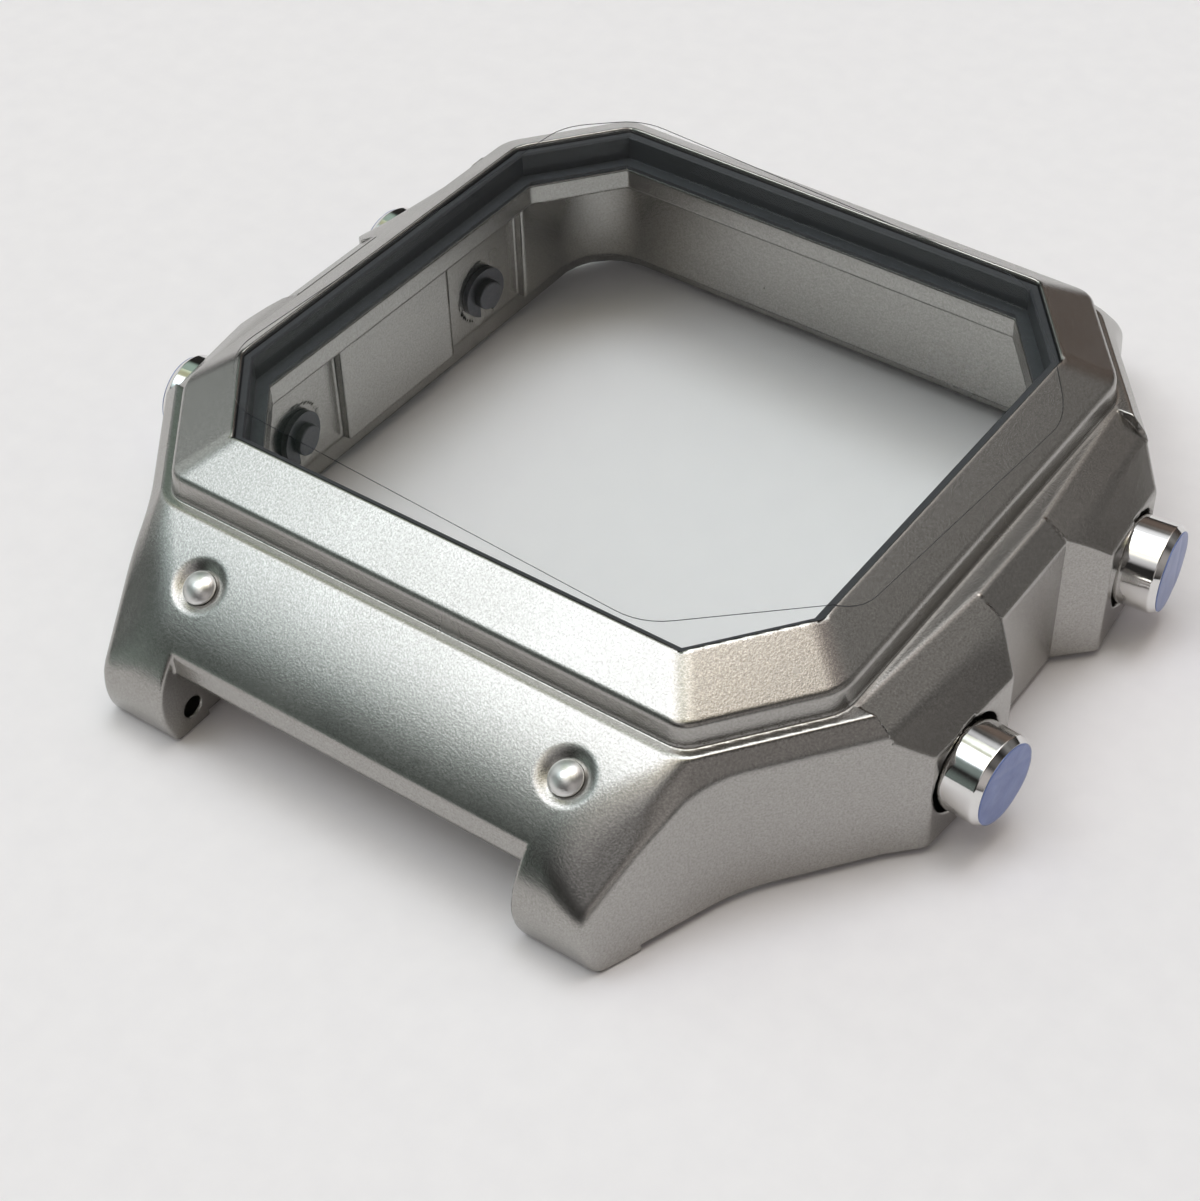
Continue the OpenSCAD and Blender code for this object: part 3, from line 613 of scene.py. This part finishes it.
# %% Four studs
DOME_RADIUS, DOME_RISE, DOME_TOP = 0.725, 0.32, 0.2945
dome_ball = (DOME_RADIUS ** 2 + DOME_RISE ** 2) / (2 * DOME_RISE)
dome_angles = np.linspace(0, math.asin(DOME_RADIUS / dome_ball), 9)
STUD_PROFILE = [(dome_ball * math.sin(a), DOME_TOP - dome_ball * (1 - math.cos(a)), 0.3)
                for a in dome_angles[:-1]]
STUD_PROFILE += [(DOME_RADIUS, -0.0255, 0.03), (DOME_RADIUS, -0.1655, 0.02), (0.45, -0.1655, 0.02),
                 (0.45, -1.9, 0.02), (0, -1.9, 0)]
STUD_PROFILE[0] = (0, DOME_TOP, 0)
for corner, (right, top) in CORNERS.items():
    c, s = unit(STUD_TILT)
    turned("stud_steel_" + corner, STUD_PROFILE, (right * STUD_X, top * STUD_Y, STUD_Z),
           (0, top * s, c), "case", "stud", "stud_" + corner, sides=64)
print("studs: 4, dome ball radius", round(dome_ball, 3), "mm")

# %% [markdown]
# A thin blue film still covers the end of each pusher. It is a soft disc that has lifted a little in
# small folds, so its outer face is a grid of rings whose height dips by a few hundredths of a
# millimetre, from a sum of a few slanted waves.

# %% Blue discs on the pushers
def folded(u, v, start):
    """Depth of the folds in millimetres at a place on the disc."""
    folds = np.sin(3.1 * u + 1.7 * v + start) * np.sin(1.3 * u - 2.9 * v + 2.1 * start)
    ridge = np.exp(-((u * math.cos(start) + v * math.sin(start) - 0.7) / 0.16) ** 2)
    return 0.012 * (1 + folds) * 0.5 + 0.014 * ridge


DISC_RINGS, DISC_SIDES = 18, 96
DISC_TOP, DISC_FOOT, RIM_DROP = 0.048, 0.002, 0.012  # heights over the head's face
for number, (corner, (right, top)) in enumerate(CORNERS.items()):
    centre, axis, across, up = pusher_directions(right, top)
    points = []
    for ring in range(1, DISC_RINGS + 1):
        reach = FACE_RADIUS * ring / DISC_RINGS
        for k in range(DISC_SIDES):
            a = 2 * math.pi * k / DISC_SIDES
            u, v = reach * math.cos(a), reach * math.sin(a)
            height = STANDS_OUT[right] + DISC_TOP - folded(u, v, 1.3 * number)
            height -= RIM_DROP * (ring / DISC_RINGS) ** 8
            points.append(centre + height * axis + u * across + v * up)
    foot = centre + (STANDS_OUT[right] + DISC_FOOT) * axis
    points += [foot + (p - centre) - ((p - centre) @ axis) * axis for p in points[-DISC_SIDES:]]
    mesh_piece("blue_disc_" + corner, points, ring_faces(DISC_RINGS + 1, DISC_SIDES), None,
               "pusher_" + corner, "blue_film", "pusher_film_" + corner)
print("blue discs: 4, folds up to 0.03 mm deep")

# %% [markdown]
# Behind each head lies a small return spring, wound from round wire. Its coils close up when the head
# goes in, so it is squashed along the pusher's axis towards the counterbore's floor, to the length
# that a pressed head leaves it.

# %% Four return springs
SPRING_FOOT, SPRING_TOP, SPRING_RADIUS, WIRE_RADIUS, TURNS = -3.017, -0.933, 1.35, 0.1, 3
WINDING_STEPS, WIRE_SIDES = 40 * TURNS, 12
springs = []
for corner, (right, top) in CORNERS.items():
    centre, axis, across, up = pusher_directions(right, top)
    points, normals = [], []
    for step in range(WINDING_STEPS + 1):
        t = step / WINDING_STEPS
        a = 2 * math.pi * TURNS * t
        out = math.cos(a) * across + math.sin(a) * up
        height = SPRING_FOOT + WIRE_RADIUS + (SPRING_TOP - SPRING_FOOT - 2 * WIRE_RADIUS) * t
        for k in range(WIRE_SIDES):
            b = 2 * math.pi * k / WIRE_SIDES
            normals.append(math.cos(b) * out + math.sin(b) * axis)
            points.append(centre + height * axis + SPRING_RADIUS * out + WIRE_RADIUS * normals[-1])
    spring = mesh_piece("return_spring_" + corner, points, ring_faces(WINDING_STEPS + 1, WIRE_SIDES),
                        normals, "case", "spring", "spring_" + corner)
    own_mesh(spring)
    springs.append(spring)
print("springs:", len(springs), "with", TURNS, "turns each")

# %% [markdown]
# The crystal is a flat eight-sided plate with a fine bevel, and a black ring lies between it and the
# bezel. Both follow the window's outline, set in by a distance, so one outline function serves both.

# %% The window's outline, and rings of it stacked into a solid
def eight_sided(half_x, half_y, corner):
    """An outline with four cut corners, from its reaches."""
    c, s = unit(CORNER_HEADING)
    quarter = [(half_x, (corner - half_x * c) / s), ((corner - half_y * s) / c, half_y)]
    half = quarter + [(-x, y) for x, y in quarter[::-1]]
    return half + [(x, -y) for x, y in half[::-1]]


def window_outline(inset):
    return eight_sided(*(reach - inset for reach in WINDOW))


def stacked(outlines, closed):
    """Points and faces of a solid through outlines, listed from the top ring down its outer side."""
    points = [(x, y, z) for outline, z in outlines for x, y in outline]
    return points, ring_faces(len(outlines), len(outlines[0][0]), closed)


# %% The crystal and its black ring
CRYSTAL_TOP, CRYSTAL_FOOT, CRYSTAL_INSET = 10.12, 8.92, 0.41
BEVEL, CLEARANCE = 0.08, 0.005
wide, narrow = window_outline(CRYSTAL_INSET), window_outline(CRYSTAL_INSET + BEVEL)
plate = [(narrow, CRYSTAL_TOP), (wide, CRYSTAL_TOP - BEVEL), (wide, CRYSTAL_FOOT + BEVEL),
         (narrow, CRYSTAL_FOOT + CLEARANCE)]
crystal = mesh_piece("crystal_glass", *stacked(plate, False), None, "case", "crystal", "crystal")
crystal.data.shade_flat()
ring_section = [  # inset and height, from the top inner edge outwards, down and back
    (0.32, CRYSTAL_TOP), (0.06, CRYSTAL_TOP), (0.01, CRYSTAL_TOP - 0.05), (0.01, SEAT + CLEARANCE),
    (0.99, SEAT + CLEARANCE), (0.99, CRYSTAL_FOOT - CLEARANCE), (0.4, CRYSTAL_FOOT - CLEARANCE),
    (0.4, CRYSTAL_TOP - BEVEL)]
ring = [(window_outline(inset), z) for inset, z in ring_section]
gasket = mesh_piece("black_ring", *stacked(ring, True), None, "case", "gasket", "crystal_gasket")
gasket.data.shade_flat()
print("crystal width in mm:", round(2 * wide[0][0], 2))

# %% [markdown]
# A clear protective film was laid on the crystal by hand, a little turned and off centre, and runs
# over the bezel's right side, where it bends down along the slope. Its cut corners are round, and its
# thin edge is what the eye catches.

# %% The film on the crystal
def softened(outline, radius, steps=7):
    """An outline with rounded corners."""
    out = []
    for i, spot in enumerate(outline):
        spot = np.array(spot)
        before = np.array(outline[i - 1]) - spot
        after = np.array(outline[(i + 1) % len(outline)]) - spot
        room = min(np.linalg.norm(before), np.linalg.norm(after)) / 2
        before, after = before / np.linalg.norm(before), after / np.linalg.norm(after)
        half = math.acos(max(-1.0, min(1.0, float(before @ after)))) / 2
        reach = min(radius / math.tan(half), room)
        out += list(bent(spot + reach * before, spot, spot + reach * after, steps))
    return [tuple(p) for p in out]


def film_sheet(outline, low, thickness):
    """A thin sheet over an outline: level up to the window's right edge, then bent down the bezel.

    The level part lies on the crystal, so its underside is left open: light crosses one layer less.
    """
    bend_x, fall = WINDOW[0], (BEZEL_TOP - BEZEL_EDGE) / (BEZEL[0] - WINDOW[0])
    parts = [[], []]
    for (x0, y0), (x1, y1) in zip(outline, outline[1:] + outline[:1]):
        parts[int(x0 > bend_x)].append((x0, y0))
        if (x0 > bend_x) != (x1 > bend_x):
            t = (bend_x - x0) / (x1 - x0)
            for part in parts:
                part.append((bend_x, y0 + t * (y1 - y0)))
    points, faces = [], []
    for part, bent_down in zip(parts, (False, True)):
        first, count = len(points), len(part)
        for height in (low + thickness, low):
            points += [(x, y, height - fall * max(0.0, x - bend_x)) for x, y in part]
        faces.append(list(range(first, first + count)))
        if bent_down:
            faces.append(list(range(first + 2 * count - 1, first + count - 1, -1)))
        for k in range(count):
            n = (k + 1) % count
            if not (part[k][0] == bend_x and part[n][0] == bend_x):
                faces.append([first + k, first + count + k, first + count + n, first + n])
    return points, faces


FILM_HALF_X, FILM_HALF_Y, FILM_HEADING = 15.15, 13.9, 44.5
ACROSS_RIGHT_CORNERS, ACROSS_LEFT_CORNERS, FILM_CORNER_RADIUS = 32.6, 37.2, 3.0
FILM_TURN, FILM_SHIFT_X, FILM_SHIFT_Y = math.radians(-3), 0.7, 0.45
FILM_LIFT, FILM_THICKNESS = 0.002, 0.046


def film_corner(across):
    """The two ends of a cut corner, from the width across opposite corners."""
    c, s = unit(FILM_HEADING)
    return [(FILM_HALF_X, (across / 2 - FILM_HALF_X * c) / s),
            ((across / 2 - FILM_HALF_Y * s) / c, FILM_HALF_Y)]


def as_laid(x, y):
    """A place on the film once it is shifted and turned."""
    x, y, c, s = x + FILM_SHIFT_X, y + FILM_SHIFT_Y, math.cos(FILM_TURN), math.sin(FILM_TURN)
    return x * c - y * s, x * s + y * c


top_half = film_corner(ACROSS_RIGHT_CORNERS)
top_half += [(-x, y) for x, y in film_corner(ACROSS_LEFT_CORNERS)[::-1]]
cut_outline = softened(top_half + [(x, -y) for x, y in top_half[::-1]], FILM_CORNER_RADIUS)
film_outline = [as_laid(x, y) for x, y in cut_outline]
film = mesh_piece("clear_film", *film_sheet(film_outline, BEZEL_TOP + FILM_LIFT, FILM_THICKNESS), None,
                  "case", "clear_film", "crystal_film")
film.data.shade_flat()
print("film outline points:", len(film_outline))

# %% [markdown]
# Materials come next. A small function adds one shader node with its settings and its links, and
# another turns the usual web colours into the linear values that light is reckoned in. Most finishes
# need the same few things: noise of a real size, a colour or a number that follows it, and a relief.

# %% Functions for nodes, for colours and for the usual parts of a finish
def add(tree, kind, inputs=None, **settings):
    """Adds a node. An input is given a value, or another node's output to link to."""
    made = tree.nodes.new(kind)
    for key, value in settings.items():
        setattr(made, key, value)
    for key, value in (inputs or {}).items():
        if isinstance(value, bpy.types.NodeSocket):
            tree.links.new(value, made.inputs[key])
        else:
            made.inputs[key].default_value = value
    return made


def colour(code):
    """A linear colour from a web colour code, with full alpha."""
    parts = [int(code[i:i + 2], 16) / 255 for i in (1, 3, 5)]
    return tuple(c / 12.92 if c <= 0.04045 else ((c + 0.055) / 1.055) ** 2.4 for c in parts) + (1.0,)


def finish_named(name):
    """An empty material: its node tree, and the output to link a shader to."""
    material = bpy.data.materials.new(name)
    material.use_nodes = True
    material.node_tree.nodes.clear()
    return material, material.node_tree, add(material.node_tree, "ShaderNodeOutputMaterial")


def noise(tree, size, detail=3.0, **inputs):
    """Noise with grains of a size in millimetres: its scale is one over that size."""
    place = add(tree, "ShaderNodeTexCoord").outputs["Object"]
    place = add(tree, "ShaderNodeVectorMath", {0: place, 1: (1000, 1000, 1000)},
                operation="MULTIPLY").outputs["Vector"]
    return add(tree, "ShaderNodeTexNoise", {
        "Vector": place, "Scale": 1 / size, "Detail": detail, **inputs}).outputs["Fac"]


def between(tree, share, dark, light):
    """A colour between two, which follows the noise."""
    return add(tree, "ShaderNodeMix", {0: share, 6: colour(dark), 7: colour(light)},
               data_type="RGBA").outputs[2]


def spread(tree, value, low, high, start=0.0, end=1.0):
    """A number from low to high while a value goes from start to end."""
    return add(tree, "ShaderNodeMapRange", {
        "Value": value, "From Min": start, "From Max": end, "To Min": low,
        "To Max": high}).outputs["Result"]


def relief(tree, height, strength, depth):
    """Directions bent by a relief, whose depth is in millimetres."""
    return add(tree, "ShaderNodeBump", {
        "Height": height, "Strength": strength, "Distance": depth * MM}).outputs["Normal"]


def principled(tree, out, inputs):
    """The general surface shader, linked to the output."""
    shader = add(tree, "ShaderNodeBsdfPrincipled", inputs)
    tree.links.new(shader.outputs["BSDF"], out.inputs["Surface"])


# %% [markdown]
# The body is stainless steel, blasted with fine glass beads. Blasting leaves shallow dents about a
# tenth of a millimetre wide, all over, with no direction. They scatter the light, so the metal looks
# satin, and up close each dent glints a little. A metal has metallic 1 and its colour in the base.

# %% Bead-blasted stainless steel
GRAIN = 0.09
blasted_steel, tree, out = finish_named("bead_blasted_steel")
grain = noise(tree, GRAIN, Roughness=0.7)
cloud = noise(tree, 5.0, Roughness=0.55)
principled(tree, out, {
    "Base Color": between(tree, grain, "#7a7773", "#c8c6c2"), "Metallic": 1.0,
    "Roughness": spread(tree, cloud, 0.23, 0.28, 0.3, 0.7), "Normal": relief(tree, grain, 0.36, 0.02)})
case.data.materials.append(blasted_steel)
print("grain of the blasting:", GRAIN, "mm")


# %% [markdown]
# The pushers and studs are turned from stainless steel and polished. The pushers mirror the room, and
# the studs keep a satin look. Very fine polishing marks stay, so the roughness is low but not even, and
# a soft ripple bends the mirror.

# %% Polished stainless steel
def marked_steel(name, size, tones, roughness, dents):
    """Steel whose tone, roughness and relief follow fine marks of one size."""
    material, tree, out = finish_named(name)
    marks = noise(tree, size)
    principled(tree, out, {
        "Base Color": between(tree, marks, *tones), "Metallic": 1.0,
        "Roughness": spread(tree, marks, *roughness), "Normal": relief(tree, marks, *dents)})
    return material


POLISH_SIZE, POLISH_TONES, POLISH_DENTS = 0.6, ("#dddcda", "#e8e7e5"), (0.08, 0.02)
mirror_steel = marked_steel(
    "mirror_polished_steel", POLISH_SIZE, POLISH_TONES, (0.06, 0.12, 0.35, 0.7), POLISH_DENTS)
satin_steel = marked_steel(
    "satin_polished_steel", POLISH_SIZE, POLISH_TONES, (0.30, 0.38, 0.35, 0.7), POLISH_DENTS)
for corner in CORNERS:
    pushers[corner].data.materials.append(mirror_steel)
    bpy.data.objects["stud_steel_" + corner].data.materials.append(satin_steel)
print("polishes:", mirror_steel.name, satin_steel.name)

# %% [markdown]
# The crystal is mineral glass, ground flat and polished, with an IOR of 1.52 as for window glass.
# Light passes a clean plate nearly straight and unweakened, so the plate is transparent. Bare glass
# mirrors 4.3 percent at each face, as its IOR says. The paper shows very clearly through this one,
# so a coating is assumed that leaves a quarter. At a slant each face mirrors more.

# %% Mineral glass
GLASS_IOR = 1.52
GLASS_MIRROR = ((GLASS_IOR - 1) / (GLASS_IOR + 1)) ** 2 / 4
mineral_glass, tree, out = finish_named("mineral_glass")
rough = spread(tree, noise(tree, 4.0), 0.0, 0.02, 0.45, 0.8)
clear = add(tree, "ShaderNodeBsdfTransparent", {"Color": colour("#fdfefe")})
mirror = add(tree, "ShaderNodeBsdfAnisotropic", {"Color": colour("#ffffff"), "Roughness": rough})
slant = add(tree, "ShaderNodeLayerWeight", {"Blend": 0.5})
grazing = add(tree, "ShaderNodeMath", {0: slant.outputs["Facing"], 1: 5.0}, operation="POWER")
share = add(tree, "ShaderNodeMath", {0: grazing.outputs["Value"], 1: 0.5, 2: GLASS_MIRROR},
            operation="MULTIPLY_ADD")
glass = add(tree, "ShaderNodeMixShader", {0: share.outputs["Value"], 1: clear.outputs["BSDF"],
                                          2: mirror.outputs["BSDF"]})
tree.links.new(glass.outputs["Shader"], out.inputs["Surface"])
crystal.data.materials.append(mineral_glass)

# %% [markdown]
# Moulded nitrile rubber makes the ring around the crystal and the seals on the stems. It is nearly
# black, with a dull, slightly uneven skin.

# %% Black nitrile rubber
nitrile_rubber, tree, out = finish_named("moulded_nitrile_rubber")
skin = noise(tree, 0.2)
principled(tree, out, {
    "Base Color": between(tree, skin, "#26282c", "#383b40"), "Roughness": 0.55, "IOR": 1.52,
    "Normal": relief(tree, skin, 0.2, 0.01)})
gasket.data.materials.append(nitrile_rubber)

# %% [markdown]
# The clear film is polyester sheet, slit from a roll. Looked through, it is almost nothing: a little
# alpha keeps it so. Its cut edge is clear as well, but it bends the light into a fine dark line, so the
# edge gets painted shade: a nearly opaque dark colour.

# %% Clear polyester film, and its cut edge in painted shade
clear_polyester, tree, out = finish_named("clear_polyester_film")
principled(tree, out, {
    "Base Color": colour("#f2f4f6"), "Roughness": spread(tree, noise(tree, 6.0, 2.0), 0.05, 0.15),
    "IOR": 1.57, "Alpha": 0.008})
# The edge's dark colour is painted shade: clear polyester is not dark, but its thin edge bends the
# light into a fine dark line.
film_edge_painted_shade, tree, out = finish_named("polyester_edge_painted_shade")
tone = between(tree, noise(tree, 0.5, 2.0), "#1c1f26", "#30343d")
principled(tree, out, {"Base Color": tone, "Roughness": 0.4, "IOR": 1.57, "Alpha": 0.95})
film.data.materials.append(clear_polyester)
film.data.materials.append(film_edge_painted_shade)
for polygon in film.data.polygons:
    polygon.material_index = int(len(polygon.vertices) == 4)  # only the cut edge is made of quads

# %% [markdown]
# The discs on the pushers are a tinted protective film, blue with a lilac cast, over bright steel. The
# steel shines through it, so it is partly metallic, and it is paler in patches, where the film lifts.

# %% Blue protective film
blue_film, tree, out = finish_named("blue_protective_film")
folds = noise(tree, 0.9, 4.0, Roughness=0.6)
principled(tree, out, {
    "Base Color": between(tree, folds, "#4c5f99", "#8795c4"), "Metallic": 0.35, "Roughness": 0.28,
    "IOR": 1.5, "Normal": relief(tree, folds, 0.3, 0.05)})
for corner in CORNERS:
    bpy.data.objects["blue_disc_" + corner].data.materials.append(blue_film)

# %% [markdown]
# The springs, seals and clips sit inside, mostly hidden. The imported seals and clips are whole, so
# they keep their meshes. Drawn spring wire is bright with fine marks. The clips are darker. The
# pushers' stems are the heads' polished steel, but their faces get the clips' dark colour as
# painted shade, since they lie in the shade inside the case. Their ends show through the glass inside
# the clips.

# %% Spring wire and clip steel for the pieces inside, and painted shade on the pushers' stems
MARK_SIZE, MARK_DENTS = 0.12, (0.2, 0.01)
spring_wire = marked_steel(
    "drawn_spring_wire", MARK_SIZE, ("#a9a8a3", "#c9c8c4"), (0.2, 0.35), MARK_DENTS)
dark_clip_steel_and_stem_shade = marked_steel(
    "blued_clip_steel_and_painted_stem_shade", MARK_SIZE, ("#4c4c50", "#67676b"), (0.3, 0.45), MARK_DENTS)
for spring in springs:
    spring.data.materials.append(spring_wire)
for corner in CORNERS:
    for node, material in (("seal_", nitrile_rubber), ("clip_", dark_clip_steel_and_stem_shade)):
        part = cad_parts[node + corner]
        for index in range(len(part.data.materials)):
            part.data.materials[index] = material
# The stems inside the case take the clips' dark steel. On them it is painted shade, because they are
# the pushers' polished steel.
STEM_LIMIT_X = 16.0 * MM
for pusher in pushers.values():
    pusher.data.materials.append(dark_clip_steel_and_stem_shade)
    for face in pusher.data.polygons:
        if abs(face.center.x) < STEM_LIMIT_X:
            face.material_index = 1
print("inside pieces finished:", 3 * len(CORNERS))

# %% [markdown]
# The case lies on a sheet of pale paper. The floor is large, matt and plain, with a faint tooth, and
# keeps the soft shadow of the case.

# %% The paper floor
bpy.ops.mesh.primitive_plane_add(size=4.0, location=(0, 0, 0))
floor = bpy.context.object
floor.name = "paper_floor"
paper, tree, out = finish_named("pale_paper")
tone = between(tree, noise(tree, 1.5), "#f1eef1", "#f8f5f7")
principled(tree, out, {"Base Color": tone, "Roughness": 0.9})
floor.data.materials.append(paper)

# %% [markdown]
# The light is soft daylight. The ceiling over the case is the brightest, the surroundings are dim and
# warm, and each facet mirrors its own part of the room. So the room is painted as soft round patches:
# the direction of each, its brightness and its tint. The strengths are the mix of single renders
# that comes nearest to the photograph. It isn't exact: the right guards' upper facets come out too
# light, and their brightest glints are missing.

# %% The room's light
ROOM = [  # azimuth, elevation and reach in degrees, brightness, tint
    (20, 80, 19, 1.48, "#ffeedf"),
    (110, 80, 19, 4.29, "#ecf5ff"),
    (60, 63, 19, 0.67, "#ffece6"),
    (100, 63, 19, 1.19, "#fbfcff"),
    (220, 63, 19, 3.21, "#eef1ff"),
    (260, 63, 19, 1.19, "#fff7e3"),
    (60, 45, 19, 0.36, "#fffffc"),
    (90, 45, 19, 0.34, "#fffbf5"),
    (150, 45, 19, 0.44, "#e1fff0"),
    (210, 45, 19, 1.05, "#e9fdff"),
    (240, 45, 19, 0.23, "#e9fff9"),
    (270, 45, 19, 0.67, "#fffdff"),
    (0, 24, 27, 0.37, "#fff9f6"),
    (45, 24, 27, 0.13, "#fffdfc"),
    (90, 24, 27, 0.17, "#ffe0cd"),
    (180, 24, 27, 0.84, "#f7fffe"),
    (315, 24, 27, 0.48, "#fff8f5"),
    (45, 4, 27, 0.14, "#fff7ef"),
    (225, 4, 27, 0.34, "#e7fff6"),
]


PATCH_CORE = 3  # degrees around the middle that have the full brightness


def patch(tree, direction, azimuth, elevation, reach, brightness, tint):
    """The light of one soft patch, which fades out at its reach from the middle."""
    (across, along), (level, up) = unit(azimuth), unit(elevation)
    nearness = add(tree, "ShaderNodeVectorMath", {0: direction, 1: (across * level, along * level, up)},
                   operation="DOT_PRODUCT")
    glow = add(tree, "ShaderNodeMapRange", {
        "Value": nearness.outputs["Value"], "From Min": unit(reach)[0], "From Max": unit(PATCH_CORE)[0],
        "To Max": brightness}, interpolation_type="SMOOTHSTEP")
    return add(tree, "ShaderNodeVectorMath", {0: colour(tint)[:3], 3: glow.outputs["Result"]},
               operation="SCALE").outputs["Vector"]


world = bpy.context.scene.world or bpy.data.worlds.new("room")
bpy.context.scene.world = world
world.use_nodes = True
tree = world.node_tree
tree.nodes.clear()
direction = add(tree, "ShaderNodeTexCoord").outputs["Generated"]
light = colour("#2b2a29")[:3]
for spot in ROOM:
    light = add(tree, "ShaderNodeVectorMath", {0: light, 1: patch(tree, direction, *spot)},
                operation="ADD").outputs["Vector"]
sky = add(tree, "ShaderNodeBackground", {"Color": light, "Strength": 1.0})
tree.links.new(sky.outputs["Background"], add(tree, "ShaderNodeOutputWorld").inputs["Surface"])
print("patches of light:", len(ROOM))


def soft_lamp(name, place, target, width, height, power, tint):
    """A rectangular lamp that faces a target. Sizes in metres, power in watts."""
    lamp = bpy.data.lights.new(name, "AREA")
    lamp.shape, lamp.size, lamp.size_y = "RECTANGLE", width, height
    lamp.energy, lamp.color = power, colour(tint)[:3]
    holder = bpy.data.objects.new(name, lamp)
    holder.location = place
    holder.rotation_euler = (Vector(target) - Vector(place)).to_track_quat("-Z", "Y").to_euler()
    bpy.context.scene.collection.objects.link(holder)


soft_lamp("window_light", (-0.081, -0.029, 0.442), (0, 0, 0), 0.40, 0.50, 0.30, "#fdffd3")

# %% [markdown]
# The camera stands where the photographer stood: about eleven centimetres from the case, above its
# lower right corner, with a long lens. These values came from matching the edges of the case.

# %% The camera
view = bpy.data.cameras.new("photo_camera")
view.sensor_fit, view.sensor_width, view.lens = "HORIZONTAL", 36.0, 71.231
view.shift_x, view.shift_y = -0.0833, 0.0
view.clip_start, view.clip_end = 0.005, 10.0
eye = bpy.data.objects.new("photo_camera", view)
eye.location = (0.046865, -0.066409, 0.072860)
eye.rotation_euler = [math.radians(a) for a in (46.544, -0.318, 34.004)]
bpy.context.scene.collection.objects.link(eye)
bpy.context.scene.camera = eye
bpy.context.scene.view_settings.view_transform = "Standard"
